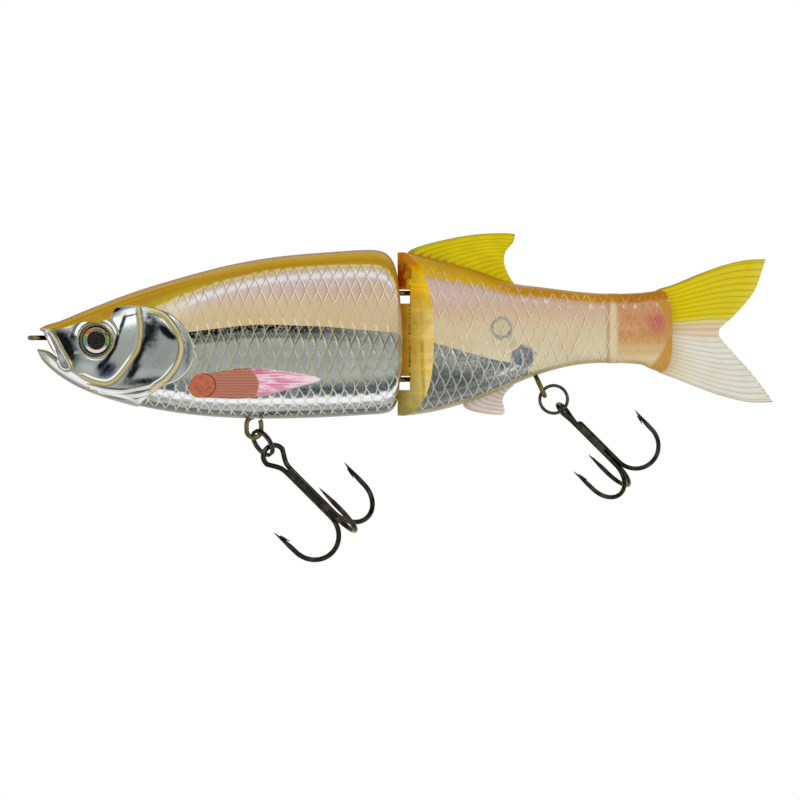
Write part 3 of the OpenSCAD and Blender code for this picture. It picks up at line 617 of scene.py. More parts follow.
def front_relief(x, z, f):
    """How far the skin stands out from the plain loft."""
    on_head = smooth(-f["head"], -0.1, 0.3)
    flank = 1 - on_head
    pec = smooth(-f["pectoral"], -0.1, 0.5)
    belly = smooth(f["height"], 0.5, 1.6)
    relief = scale_relief(x, f["row"]) * flank * (1 - pec) * smooth(f["depth"], 1.2, 3.0) * belly
    inside = -f["opercle"]
    relief += 0.28 * smooth(inside, -0.12, 0.12) * smooth(x, 22, 27) + 0.14 * ridge(inside - 0.15, 0.2)
    relief -= 0.12 * ridge(inside - 1.25, 0.22) * smooth(x, 27, 30)
    relief += 0.22 * on_head * smooth(x, 18, 26) + 0.12 * ridge(f["gill"], 0.25)
    relief += 0.32 * ridge(f["preopercle"], 0.42) - 0.12 * ridge(f["preopercle"], 0.12)
    brow = ridge(f["eye"] - 5.35, 0.42) * smooth(z - EYE[1], -0.6, 1.2)
    relief += 0.4 * brow - 0.12 * ridge(f["eye"] - 4.6, 0.25)
    relief += 0.45 * smooth(-f["maxilla"], -0.1, 0.25) - 0.22 * ridge(f["maxilla"] + 1.0, 0.3)
    relief -= 0.12 * ridge(f["ribs"], 0.18)
    top_edge = z - curve(CHROME_TOP, x)
    relief += 0.12 * on_head * smooth(-top_edge, 0.0, 0.3)
    relief += 0.3 * smooth(-f["mouth"] + 0.9, 0, 0.6) * ridge(np.minimum(f["mouth"], 0), 1)
    rays = 0.05 * np.cos(2 * math.pi * (z + 11) / 0.62)
    root = ridge(np.hypot((x - 39.9) / 1.2, z + 11.5), 2.6)
    relief += pec * (0.35 + rays * smooth(x, 42, 46) * smooth(-x, -60, -52) + 0.25 * root)
    return relief


def rear_fields(x, y, z):
    """The same for the rear section."""
    return {
        "row": rows(y, z),
        "depth": curve(REAR_TOP, x) - z,
        "height": z - curve(REAR_BOTTOM, x),
        "over_foil": z - curve(REAR_FOIL_EDGE, x),
        "amber": curve(REAR_TOP, x) - z - curve(AMBER_REAR, x),
    }


def rear_relief(x, z, f):
    fade = smooth(f["depth"], 1.0, 2.6) * smooth(f["height"], 0.5, 1.4) * smooth(-x, -138, -136.5)
    return scale_relief(x, f["row"]) * fade + 0.1 * smooth(x, 138.1, 138.5) * smooth(-x, -141, -140.6)


def half_shell(section, side, skin_of, fields_of, relief_of, stations, a, ends, follow, materials):
    """One hollow half of a section: relief on the skin, the CAD's cavity inside, coarser by STEP.
    ends are the stations where the skin starts, the cavity starts and ends, and the skin ends."""
    x, y, z = skin_of(*np.meshgrid(stations, a, indexing="ij"))
    fields = fields_of(x, y, z)
    relief = relief_of(x, z, fields)
    grid = np.stack([x, y, z], -1)
    across, along = np.gradient(grid, axis=1), np.gradient(grid, axis=0)
    normal = np.cross(across, along)
    normal /= np.maximum(np.linalg.norm(normal, axis=-1), 1e-9)[..., None]
    if normal[len(stations) // 2, len(a) // 2, 1] < 0:
        normal = -normal
    keep = smooth(y, 0, 0.6)[..., None]
    grid = grid + normal * (relief[..., None] * keep)
    n, m = len(stations) - 1, len(a) - 1
    first, last = nearest_step(stations, ends[1]), nearest_step(stations, ends[2])
    inner_i = list(range(first, last + 1, STEP))
    inner_j = list(range(0, m + 1, STEP))
    ix, iy, iz = skin_of(*np.meshgrid(stations[inner_i], a[inner_j], indexing="ij"), WALL)
    c, d = len(inner_i) - 1, len(inner_j) - 1
    points = [grid.reshape(-1, 3), np.stack([ix, iy, iz], -1).reshape(-1, 3)]
    start = (n + 1) * (m + 1) + (c + 1) * (d + 1)

    def o(i, j):
        return i * (m + 1) + j

    def q(i, j):
        return (n + 1) * (m + 1) + i * (d + 1) + j

    faces = [(o(i, j), o(i + 1, j), o(i + 1, j + 1), o(i, j + 1)) for i in range(n) for j in range(m)]
    faces += [(q(i, j), q(i, j + 1), q(i + 1, j + 1), q(i + 1, j)) for i in range(c) for j in range(d)]
    faces += [tuple(q(0, j) for j in range(d, -1, -1)), tuple(q(c, j) for j in range(d + 1))]
    for i in range(c):
        low = [o(first + i * STEP + s, 0) for s in range(STEP + 1)]
        high = [o(first + i * STEP + s, m) for s in range(STEP + 1)]
        faces.append(tuple(low[::-1] + [q(i, 0), q(i + 1, 0)]))
        faces.append(tuple(high + [q(i + 1, d), q(i, d)]))
    faces += [(o(i + 1, 0), o(i, 0), o(i, m), o(i + 1, m)) for i in range(1, first - 1)]
    faces += [(o(i + 1, 0), o(i, 0), o(i, m), o(i + 1, m)) for i in range(last + 1, n - 1)]
    faces.append((o(first - 1, 0), o(first - 1, m), o(first, m), q(0, d), q(0, 0), o(first, 0)))
    faces.append((o(last + 1, m), o(last + 1, 0), o(last, 0), q(c, 0), q(c, d), o(last, m)))
    skin_count = len(faces)
    for end, turned in ((0, False), (n, True)):
        line = grid[end].copy()
        low, high = line[0], line[-1]
        if not (end == n and follow):
            line[:, 0] = low[0]
        line[:, 1] = 0
        s = [o(end, 0)] + [start + j for j in range(m - 1)] + [o(end, m)]
        points.append(line[1:-1])
        start += m - 1
        strip = [(s[j], o(end, j), o(end, j + 1), s[j + 1]) for j in range(1, m - 1)]
        strip += [(s[0], o(end, 1), s[1]), (s[m - 1], o(end, m - 1), s[m])]
        near = 1 if end == 0 else n - 1
        cap = tuple([o(near, 0)] + s + [o(near, m)])
        faces += [f[::-1] for f in strip] + [cap[::-1]] if turned else strip + [cap]
    verts = np.concatenate(points)
    verts[:, 1] *= side
    if side < 0:
        faces = [f[::-1] for f in faces]
    slots = [0] * skin_count + [1] * (len(faces) - skin_count)
    fields = {k: np.concatenate([v.ravel(), np.zeros(len(verts) - v.size)]) for k, v in fields.items()}
    word = SIDE_NAMES[side]
    return build(f"{section}_half_{word}", verts, faces, f"{section}_body", materials, "body_plastic",
                 [f"{section}_shell_{word}"], fields, sharp=50, face_slots=slots)


def cutter(name, near, far, materials, flip=False):
    """Cutting block between two loops of points. The cut it leaves takes the second material."""
    n = len(near)
    faces = [tuple(range(n)), tuple(range(2 * n - 1, n - 1, -1))]
    faces += [(i, n + i, n + (i + 1) % n, (i + 1) % n) for i in range(n)]
    if flip:
        faces = [f[::-1] for f in faces]
    mesh = bpy.data.meshes.new(name)
    mesh.from_pydata((np.array(near + far) * MM).tolist(), [], faces)
    for material in materials:
        mesh.materials.append(material)
    mesh.polygons.foreach_set("material_index", np.full(len(faces), 1, np.int32))
    return linked(name, mesh)


def prism(name, outline, y0, y1, materials):
    """Cutting block: an [x, z] outline carried across from y0 to y1."""
    return cutter(name, [(x, y0, z) for x, z in outline], [(x, y1, z) for x, z in outline], materials)


def cut(obj, cutters):
    """Takes the cutting blocks out of a piece, then discards them."""
    for cutter in cutters:
        tool = obj.modifiers.new("cut", "BOOLEAN")
        tool.operation = "DIFFERENCE"
        tool.solver = "EXACT"
        tool.object = cutter
    depsgraph = bpy.context.evaluated_depsgraph_get()
    mesh = bpy.data.meshes.new_from_object(obj.evaluated_get(depsgraph))
    obj.modifiers.clear()
    old = obj.data
    obj.data = mesh
    bpy.data.meshes.remove(old)
    for cutter in cutters:
        bpy.data.objects.remove(cutter)


STEP = 4                       # the cavity's grid is this much coarser than the skin's
SKIN_GRID = 0.24               # spacing of the skin's points


def stations_for(x0, x1, grid=SKIN_GRID):
    count = int(round((x1 - x0) / grid / STEP)) * STEP
    return np.linspace(x0, x1, count + 1)


def nearest_step(stations, x):
    return int(round(np.argmin(np.abs(stations - x)) / STEP)) * STEP


# ---------- painted and foiled skins ----------
class Skin(Finish):
    """A body skin: scale lines and one random number a scale, under a clear coat."""

    def __init__(self, name):
        super().__init__(name, Coat_Weight=0.3, Coat_Roughness=0.05, Coat_IOR=1.35, Specular_IOR_Level=0.2)
        self.x, _, self.z = self.place()
        self.row = self.attribute("row")
        first, second = scale_lines(self.x, self.row, Num.sin, Num.cos, Num.floor, Num.abs)
        near = first.abs().min(second.abs())
        self.wander = self.noise(1.6, 2.0)
        self.line = near.fall(0.1, 0.22)
        self.falling = second.abs().fall(0.08, 0.2)
        # just behind a line, where its shadow or its highlight falls
        self.behind = first.band(0.14, 0.36, 0.1).max(second.band(0.14, 0.36, 0.1)) * (1.0 - self.line)
        u = (self.x - SCALE_START) / SCALE_PITCH
        lanes = u + self.row * 0.5, u - self.row * 0.5
        node = self.tree.nodes.new("ShaderNodeTexWhiteNoise")
        node.noise_dimensions = "2D"
        both = self.tree.nodes.new("ShaderNodeCombineXYZ")
        for i, lane in enumerate(lanes):
            self.tree.links.new(lane.floor().socket, both.inputs[i])
        self.tree.links.new(both.outputs[0], node.inputs["Vector"])
        self.scale = Num(self.tree, node.outputs["Value"])
        # from the front corner of a scale to its back corner, 0 to 1, and from its top to its bottom
        self.across = (lanes[0] - lanes[0].floor() + lanes[1] - lanes[1].floor()) * 0.5
        self.rise_in = (lanes[0] - lanes[0].floor()) - (lanes[1] - lanes[1].floor())

    def dull_top(self, depth):
        """The air-brushed back is less glossy than the flanks."""
        self.set("Coat Weight", 0.03 + 0.27 * depth.rise(2.0, 6.0))
        self.set("Specular IOR Level", 0.04 + 0.16 * depth.rise(1.5, 5.0))

    def foil(self, over, height, dark_to, dark_share, white_low, white_high):
        """Hot-stamped silver foil, with painted reflections: its dark, grey and white bands from the upper
        edge down to the belly.
        """
        grain, fine = self.noise(0.55, 2.0), self.noise(0.3, 2.0)
        flecks = (grain + (self.scale - 0.5) * 0.12).rise(0.5, 0.6)
        smear = self.noise(1.0, 2.0, (6, 1, 0.7)) - 0.5
        # Painted dark reflection in a row under the foil's upper edge.
        row = over.band(dark_to, 0.6, 0.8) * dark_share
        level = height + smear * 1.6 + (self.rise_in - 0.1) * 0.5
        flat = self.mix("#A5ADA6", "#B3BAB3", self.scale)
        flat = self.mix(flat, "#A9A58C", self.wander.rise(0.5, 0.66) * 0.45)
        colour = self.layers(
            flat,
            (self.mix("#5E686D", "#8D989C", fine.rise(0.42, 0.58)),
             level.band(5.0, 8.4, 1.6) * (0.6 + grain * 0.5).min(1.0)),
            (self.mix("#2A2F33", "#5F6B72", flecks), level.band(5.2, 7.4, 1.4) * self.scale.rise(0.4, 0.7)
             * 0.8),
            (self.mix("#050606", "#7F8781", flecks), row * (1.0 - 0.35 * over.fall(-2.2, -1.2))),
            ("#FFFFFF", level.band(white_low, white_high, 0.7)),
            ("#B9C0BC", level.band(1.9, 2.6, 0.5)),
            ("#6C7068", level.fall(1.5, 1.9)))
        shine = 1.0 - level.band(white_low, white_high, 0.9) * 0.9
        # Painted shadow just behind the scale lines.
        cast = self.behind * self.wander.rise(0.32, 0.5) * (over.band(-4.6, 0.4, 2.0) * 0.8 + 0.25)
        colour = self.mix(colour, "#1C1B17", cast)
        cream = self.mix("#B5AB86", "#E8E6DC", level.fall(4.5, 8.5))
        return self.mix(colour, cream, self.line * (0.75 + 0.2 * self.wander)), shine


def front_paint():
    f = Skin("front_paint")
    x, z, line, wander = f.x, f.z, f.line, f.wander
    depth, height, over = f.attribute("depth"), f.attribute("height"), f.attribute("over_foil")
    tone = f.attribute("tone")
    amber = f.attribute("amber") + f.rise_in * -0.35 + (wander - 0.5) * 0.5
    cloud = f.noise(9, 2.0)
    mottle, fine = f.noise(0.9, 4.0, (1, 1, 1), 0.65), f.noise(0.35, 2.0)

    flank = f.ramp(z, (0.0, "#C9B687"), (3.5, "#CDB888"), (7.0, "#CEB88F"), (9.2, "#CCB492"),
                   (10.6, "#C8AF97"), (12.5, "#C6B1A6"), (15, "#C9B5B0"))
    flank = f.mix(flank, "#C4AA82", x.rise(70, 84) * 0.6)
    flank = f.mix(flank, "#D2BD9B", cloud.rise(0.42, 0.62) * 0.5)
    flank = f.mix(flank, f.mix("#C9B8AE", "#CDBFC4", wander.rise(0.4, 0.6)),
                  amber.band(3.6, 4.6, 2.8) * x.fall(76, 88) * 0.75)
    # Pearl paint under the amber back, its white band a painted reflection of the top softbox; the mix is
    # stronger across the middle of each scale.
    pearl_and_sheen = f.ramp(amber, (-0.4, "#BD991C"), (0.0, "#CDAD48"), (0.35, "#DEC981"), (0.8, "#C6B68C"),
                   (1.35, "#C8BCA6"), (1.8, "#DBD6D0"), (2.3, "#E8E5E6"), (2.9, "#E4DFE2"),
                   (3.6, "#CBBFBC"))
    flank = f.mix(flank, pearl_and_sheen, amber.fall(2.9, 4.2) * (0.75 + 0.25 * f.across.band(0.3, 0.8, 0.2)))
    flank = f.mix(flank, f.mix("#D8C592", "#E4D9BC", fine),
                  amber.rise(0.0, 0.8) * x.fall(34, 40) * z.rise(3, 6) * 0.75)
    back = f.ramp(depth, (0.0, "#8F5F22"), (0.35, "#A8741F"), (0.7, "#BE9128"), (1.2, "#C6A017"),
                  (1.9, "#BF960F"), (2.5, "#B28A0F"), (3.4, "#B68C16"), (5.0, "#B99018"))
    back = f.mix(back, "#B9A50C", amber.rise(-2.0, -0.6) * x.fall(34, 48) * 0.85)
    back = f.mix(back, "#8A5A18", depth.band(1.35, 1.65, 0.25) * x.fall(32, 44) * 0.6)
    strong = z.rise(6.5, 10.5)
    upper = f.mix(flank, back, amber.fall(-0.35, 0.1))
    # Painted highlight just behind the scale lines, whiter higher up.
    upper = f.mix(upper, f.mix("#F6EEDF", "#FFFFFF", strong),
                  f.behind * (0.10 + 0.55 * strong) * amber.rise(0.4, 1.2))
    upper = f.mix(upper, f.mix("#B5915C", "#B08A66", strong),
                  line * (0.25 + 0.5 * strong) * (0.6 + 0.6 * wander)
                  * (0.25 + 0.75 * amber.rise(-0.6, 0.5)))
    # Painted highlight on the second family of scale lines just above the foil.
    upper = f.mix(upper, "#F4E6BE", f.falling * over.band(0.1, 1.6, 0.5) * 0.85)

    foil, shine = f.foil(over, height, dark_to=-3.2, dark_share=x.fall(60, 88) * 0.8 + 0.2,
                         white_low=3.3, white_high=4.9)
    foiled = over.fall(-0.05, 0.05)
    colour = f.mix(upper, foil, foiled)

    pec = f.attribute("pectoral")
    knob = f.distance(40.4, -11.5, 0.8464)
    fan = (z + 11.2) / (1.0 + (x - 41).abs() * 0.004) * (2 * math.pi / 0.66) + (wander - 0.5) * 0.9
    groove = fan.sin().rise(0.25, 0.95)
    tip = (x + (z + 11.5) * (z + 11.5) * 0.13).rise(53.6, 54.4)
    streak = f.noise(0.8, 2.0, (5, 1, 0.5))
    disc = knob.fall(2.75, 2.9)
    fin = f.layers(
        f.mix("#BC7E64", "#B2745C", wander), ("#8C4330", groove * 0.75),
        ("#B9705C", z.fall(-13.5, -11.5) * 0.4),
        (f.mix(f.mix("#D780A0", "#E7A9BE", groove), "#F7E6EB", streak.rise(0.42, 0.62) * 0.75), tip),
        ("#C2457B", tip * x.fall(54, 60) * z.rise(-9.6, -8.4) * 0.5), ("#F6E8E8", x.rise(60, 69) * 0.7),
        (f.mix("#C0694A", "#A9583F", mottle.rise(0.45, 0.62)), disc),
        ("#8A2F1C", knob.band(2.75, 3.05, 0.15) * x.rise(40, 41.5)),
        ("#9B5238", (knob - 1.5).abs().fall(0.1, 0.4) * disc * z.fall(-11.5, -10.5) * 0.6),
        ("#A9762A", pec.rise(-0.35, -0.1) * x.fall(38.5, 39.5)),
        ("#8C4D3C", pec.rise(-0.3, -0.08) * x.rise(40, 42) * x.fall(52, 58) * 0.6))
    pec_in = pec.fall(-0.05, 0.05)
    colour = f.mix(colour, fin, pec_in)

    belly = height.fall(0.55, 0.95)
    colour = f.mix(colour, f.mix("#7E7A55", "#615D40", f.noise(2.5).rise(0.4, 0.6)),
                   belly * depth.rise(6, 9))

    head = f.attribute("head").fall(-0.05, 0.1)
    # Painted reflections on the chromed head: light and dark from its reflection field, mottled by noise in
    # the dark places, and a painted blue reflection below the eye.
    cloudy = (mottle - 0.5) * (0.9 * tone.fall(-0.4, 0.0) + 0.08)
    level = (tone * 1.4).max(-1.0).min(1.0) + cloudy + (fine - 0.5) * 0.22
    chrome_reflections = f.layers(
        f.ramp(level, (-1.0, "#0A0B0C"), (-0.75, "#24272A"), (-0.45, "#6A6F6E"), (-0.15, "#A2A8A3"),
               (0.15, "#B8BEB9"), (0.45, "#DDE1DF"), (0.8, "#FFFFFF")),
        ("#42546A", f.distance(17.3, -7.8).fall(1.0, 2.6) * mottle.rise(0.45, 0.55) * 0.7))
    eye, opercle, gill = f.attribute("eye"), f.attribute("opercle"), f.attribute("gill")
    pre, maxilla, ribs = f.attribute("preopercle"), f.attribute("maxilla"), f.attribute("ribs")
    gold, cream, crease_shade, white = "#A99C62", "#CFC59A", "#1B1A16", "#FFFFFF"
    right = x.rise(26.5, 28.5)
    above_eye = z.rise(0.2, 1.6)
    # Painted highlight and shade on the head's relief: white bands beside the brow, ribs, gill, preopercle,
    # opercle, maxilla and along the lower edge; grey and dark bands beside the brow and ribs; and dark
    # lines in the grooves and at the feet of the ridges.
    head_colour = f.layers(
        chrome_reflections,
        (crease_shade, eye.band(4.55, 4.8, 0.12) * above_eye), (white, eye.band(4.8, 5.35, 0.2) * above_eye),
        ("#565A58", eye.band(5.4, 5.62, 0.12) * above_eye),
        (white, eye.band(5.66, 5.8, 0.1) * above_eye * 0.7),
        ("#2B2A22", eye.band(5.85, 6.1, 0.12) * z.rise(1.0, 2.0) * x.fall(13, 14)),
        (white, ribs.fall(0.2, 0.4) * 0.8), (gold, ribs.fall(0.05, 0.12) * 0.7),
        ("#45463F", ribs.band(0.45, 0.7, 0.15) * 0.7),
        (crease_shade, opercle.band(0.0, 0.2, 0.12) * right * 0.6),
        (gold, opercle.band(-1.3, -0.02, 0.12) * right),
        (cream, opercle.band(-1.0, -0.3, 0.25) * right * z.fall(-1.5, 1.5)),
        ("#D9D0A8", opercle.band(-0.55, -0.2, 0.1) * right * z.rise(0, 3)),
        (crease_shade, opercle.band(-1.5, -1.32, 0.12) * right * 0.7),
        (white, opercle.band(-1.85, -1.5, 0.12) * right * z.fall(-7.5, -5.5)),
        (gold, opercle.band(-0.15, 0.1, 0.12) * x.fall(26.5, 28.5) * z.fall(-11, -10)),
        (gold, gill.fall(0.1, 0.22)), (white, gill.band(0.24, 0.4, 0.1) * z.fall(-6, -4) * 0.8),
        (white, pre.band(0.5, 1.0, 0.15) * x.rise(10, 12) * z.fall(-5.5, -3.5) * opercle.rise(0.0, 0.4)),
        (gold, pre.fall(0.5, 0.6)), (cream, pre.fall(0.12, 0.24) * 0.8),
        (crease_shade, pre.band(0.56, 0.72, 0.1) * opercle.fall(-0.3, 0.0) * 0.8),
        ("#A39C6C", maxilla.band(-0.05, 0.2, 0.1) * 0.9),
        (f.mix("#8F958F", "#C3C7C2", f.noise(3, 2).rise(0.4, 0.6)), maxilla.fall(-0.1, 0.0)),
        (gold, maxilla.band(-0.32, 0.0, 0.1) * 0.9), (crease_shade, maxilla.band(-0.95, -0.8, 0.1) * 0.8),
        (white, maxilla.band(-0.75, -0.5, 0.15) * 0.9),
        (gold, eye.band(4.0, 4.4, 0.12)), (crease_shade, eye.band(3.8, 4.05, 0.1)),
        ("#716B42", height.fall(0.55, 0.9)),
        (white, height.band(1.2, 1.8, 0.3) * x.fall(22, 26) * x.rise(2, 4) * 0.9),
        ("#8F8858", f.attribute("mouth").fall(0.25, 0.5)))
    rim = opercle.band(-1.3, -0.02, 0.12) * right
    ridges = pre.fall(0.5, 0.6).max(rim).max(eye.band(4.0, 4.4, 0.12)).max(gill.fall(0.1, 0.22))
    lit = level.rise(0.4, 0.8) + pre.band(0.5, 1.0, 0.15) + eye.band(4.8, 5.35, 0.2) * above_eye
    bright_head = ridges * 0.9 + lit.min(1.0)
    colour = f.mix(colour, head_colour, head)

    rim_line = x.rise(87.2, 87.8)
    colour = f.mix(colour, f.ramp(z, (-14, "#9C9165"), (0, "#A08A58"), (6, "#B08D62"), (12, "#A8611A"),
                                  (18, "#B3741A")), rim_line * 0.85)
    plain = (pec_in + belly).min(1.0)
    f.set("Base Color", colour)
    metal_flank = foiled * shine * (1.0 - plain) * (1.0 - line * 0.5) * depth.rise(6, 8)
    metal_head = 1.0 - (bright_head + height.fall(0.55, 0.9)).min(1.0) * 0.85
    f.set("Metallic", metal_flank * (1.0 - head) + metal_head * head)
    f.set("Roughness", 0.34 - 0.1 * foiled + (fine - 0.5) * 0.1 - head * 0.1)
    f.dull_top(depth)
    f.bump(fine * 0.6 + mottle * 0.4, 0.02, 0.35)
    return f.material


def rear_paint():
    f = Skin("rear_paint")
    x, z, scale, line, wander = f.x, f.z, f.scale, f.line, f.wander
    depth, height, over = f.attribute("depth"), f.attribute("height"), f.attribute("over_foil")
    cloud, mottle, fine = f.noise(8, 2.0), f.noise(1.1, 3.0, (1, 1, 1), 0.6), f.noise(0.35, 2.0)
    amber = f.attribute("amber") + (wander - 0.5) * 0.7
    plug = x.rise(140.0, 141.2)

    back = f.layers(
        f.ramp(depth, (0.0, "#A8700C"), (0.5, "#BC8812"), (1.2, "#C6980C"), (2.4, "#D0AA04"),
               (4.4, "#D2AC06")),
        ("#BA8016", x.rise(104, 120) * 0.85), ("#C39324", cloud.rise(0.45, 0.6) * 0.5),
        ("#B2741A", x.rise(139, 143)))
    flank = f.ramp(z, (-7, "#D3CCA8"), (-4.5, "#D6CCAC"), (-1, "#D5C7A2"), (2.5, "#D1BF9C"), (5, "#D0B598"),
                   (7, "#CBAC8F"), (8.5, "#CCB09F"), (11, "#CBB2A8"), (14, "#C9AE9C"))
    flank = f.layers(flank, ("#CDBE96", x.fall(98, 112) * z.fall(3, 6) * 0.6),
                     ("#C6A07E", amber.fall(0.4, 1.3)),
                     ("#C8B089", cloud.rise(0.46, 0.62) * 0.35), ("#BFA56A", height.fall(0.5, 1.3)))
    ring = f.distance(112.5, 2.3) + (mottle - 0.5) * 1.6
    blob = f.distance(117.7, -4.7, 0.85) + (mottle - 0.5) * 2.6
    flank = f.layers(
        flank, (f.mix("#8D8E85", "#A5A38F", mottle.rise(0.4, 0.6)), ring.band(1.95, 2.75, 0.6) * 0.85),
        ("#5D6672", ring.band(2.0, 2.7, 0.4) * mottle.rise(0.5, 0.62) * 0.7),
        ("#C4B98F", ring.fall(1.2, 1.9) * 0.8),
        (f.mix("#7E878A", "#6A7480", mottle.rise(0.4, 0.6)), blob.fall(2.3, 3.1)),
        ("#3F4B5C", blob.fall(1.4, 2.6) * mottle.rise(0.48, 0.62) * 0.8),
        ("#A79E86", ((x - 114.9).abs() * 0.9 + (z + 1.2).abs() * 0.6).fall(0.5, 1.8) * 0.5))
    hot = f.distance(150.2, 3.6, 0.35, 0.3) + (mottle - 0.5) * 1.6
    inner = f.layers(
        f.ramp(z, (-6.5, "#D0BA7C"), (-5, "#D9C7A0"), (-3.4, "#D1AF70"), (-2.2, "#CDB082"), (-1, "#C79B5C"),
               (0.5, "#C6925A"), (2.5, "#CB9968"), (5, "#C68E62"), (7, "#C49268"), (8.6, "#C59A6C")),
        ("#C2703E", mottle.rise(0.5, 0.64) * z.rise(-2, 1) * 0.45), ("#B5564C", hot.fall(0.5, 2.2) * 0.75),
        ("#C86478", hot.fall(-0.4, 1.6) * fine.rise(0.3, 0.7) * 0.4))
    flank = f.layers(flank, ("#B98C66", (x - 138.35).abs().fall(0.15, 0.7) * 0.7),
                     ("#DCC89C", x.band(138.9, 140.2, 0.5) * 0.8),
                     (inner, plug))
    edge = x + (z - 1.5) * (z - 1.5) * 0.055
    flank = f.layers(flank, ("#C08A2A", edge.rise(152.2, 153.2) * 0.9),
                     ("#C59A3C", height.fall(0.3, 1.2) * x.rise(140, 146) * 0.8))
    upper = f.mix(flank, back, amber.fall(-0.3, 0.35))
    faded = x.fall(137, 146) * 0.7 + 0.3
    # Painted highlights: white strokes on the second family of scale lines and white just behind the lines.
    strokes = f.falling * over.band(0.3, 5, 2) * wander.rise(0.42, 0.6)
    white = f.behind * (0.22 + 0.6 * wander.rise(0.45, 0.62)) + strokes * 0.7
    upper = f.mix(upper, f.mix("#A98450", "#B08A62", z.rise(4, 9)),
                  line * (0.05 + 0.42 * wander.rise(0.42, 0.62)) * faded)
    upper = f.mix(upper, "#FBF3E2", white.min(1.0) * 0.75 * faded * amber.rise(-2.2, -0.5))
    # Painted glints on the scale lines along the amber edge.
    painted_glints = line * (f.attribute("amber") - 1.0).abs().fall(0.2, 0.8) * wander.rise(0.42, 0.58)
    upper = f.mix(upper, "#FFFFFF", painted_glints * x.rise(114, 120) * 0.45)

    foil, shine = f.foil(over, height, dark_to=-2.4, dark_share=0.35, white_low=3.6, white_high=4.3)
    specks = f.noise(0.5, 3.0, (1, 1, 1), 0.6)
    # Painted reflections on the rear foil: a dark speckled band over its lower part, a speckled grey band
    # under its edge and a grey wash; then the cream scale lines.
    foil = f.layers(foil, (f.mix("#101212", "#6F7470", specks.rise(0.47, 0.58)),
                           over.fall(-6.5, -3.0) * height.rise(1.2, 3.2) * 0.85),
                    (f.mix("#5A5D58", "#B6BBB5", specks.rise(0.44, 0.54)), over.band(-5, 0, 1.5) * 0.45),
                    ("#787C76", over.fall(-4.5, -2.0) * 0.4), ("#D0CDBE", line * (0.3 + 0.5 * wander)))
    foiled = over.fall(-0.15, 0.15)
    colour = f.mix(upper, foil, foiled)
    belly = height.fall(0.8, 1.2)
    colour = f.mix(colour, f.mix("#A89A66", "#8E834F", cloud.rise(0.4, 0.6)), belly * x.fall(121, 126))
    colour = f.mix(colour, "#8A7B46", height.fall(0.1, 0.4) * 0.5)
    f.set("Base Color", colour)
    f.set("Metallic", foiled * shine * (1.0 - belly) * (1.0 - line * 0.5))
    f.set("Roughness", 0.34 - 0.1 * foiled + (scale - 0.5) * 0.06)
    f.dull_top(depth)
    f.bump(f.noise(0.4, 2.0), 0.02, 0.3)
    return f.material


def nose_plastic():
    """Amber plastic of the faces that meet at the joint and of the cuts."""
    f = Finish("joint_faces", Coat_Weight=0.2, Coat_Roughness=0.06, Coat_IOR=1.4, Subsurface_Weight=0.15,
               Subsurface_Scale=0.003, Specular_IOR_Level=0.1)
    x, _, z = f.place()
    cloud, fine, drift = f.noise(3.5, 3.0), f.noise(0.8, 2.0), f.noise(1.2, 2.0, (1, 1, 0.6))
    colour = f.layers(
        f.ramp(z, (-19, "#9C9052"), (-15, "#C6BA72"), (-11, "#D8CA78"), (-6, "#E6CF6C"), (0, "#E2CC68"),
               (6, "#E0C860"), (11, "#F4C426"), (14.5, "#FAD60A"), (16.4, "#EEAC0C"), (18, "#D48A0E"),
               (21, "#D0780E")),
        ("#F6DA8C", x.rise(93.0, 94.4) * z.fall(5, 7) * 0.8),
        ("#8D7A22", (x - 93.2 + (z * 0.04)).abs().fall(0.2, 0.6) * z.fall(-2, 0) * 0.5),
        ("#DEB436", x.fall(89.6, 90.2) * z.band(-13, 9, 2) * 0.75),
        ("#B44A10", x.fall(89.0, 90.4) * z.rise(11, 13) * z.fall(17.5, 19)),
        ("#E6CC30", ((x - 92.3).abs() * 0.6).max((z - 14.7).abs()).fall(0.7, 1.6) * 0.7),
        ("#9C7A14", ((x - 90.2).abs() * 1.4).max((z - 15.6).abs() * 0.6).fall(0.6, 1.1) * 0.8),
        ("#6E4E0C", (x - 90.3).abs().fall(0.12, 0.4) * z.band(-12, 15, 1) * drift.rise(0.42, 0.58) * 0.8),
        ("#F4D23A", cloud.rise(0.5, 0.66) * 0.4), ("#C8A63A", cloud.fall(0.36, 0.46) * 0.35),
        ("#FFF0B8", fine.rise(0.62, 0.75) * 0.25))
    f.set("Base Color", colour)
    f.set("Roughness", 0.3 + (cloud - 0.5) * 0.2)
    f.bump(cloud, 0.03, 0.4)
    return f.material


def plain(name, colours, size, stretch=(1, 1, 1), rough=(0.3, 0.1), metal=0.0, depth=0.02, **constants):
    """A material of two colours in a noise, with the noise in its roughness and bump as well."""
    f = Finish(name, Metallic=metal, **constants)
    grain = f.noise(size, 3.0, stretch)
    f.set("Base Color", f.mix(*colours, grain.rise(0.35, 0.65)))
    f.set("Roughness", rough[0] + (grain - 0.5) * rough[1])
    f.bump(grain, depth, 0.5)
    return f.material


def hook_steel():
    """Black nickel plate, worn brown in patches, with fine draw lines along it."""
    f = Finish("black_nickel", Metallic=1.0, Specular_Tint=rgb("#FFF4E0"))
    cloud, fine = f.noise(2.2, 3.0), f.noise(0.25, 2.0)
    f.set("Base Color", f.layers(f.mix("#2B2925", "#4A463E", cloud.rise(0.42, 0.66)),
                                 ("#161513", fine.rise(0.55, 0.7) * 0.5)))
    f.set("Roughness", 0.17 + (cloud - 0.5) * 0.1 + (fine - 0.5) * 0.06)
    f.bump(fine, 0.012, 0.4)
    return f.material


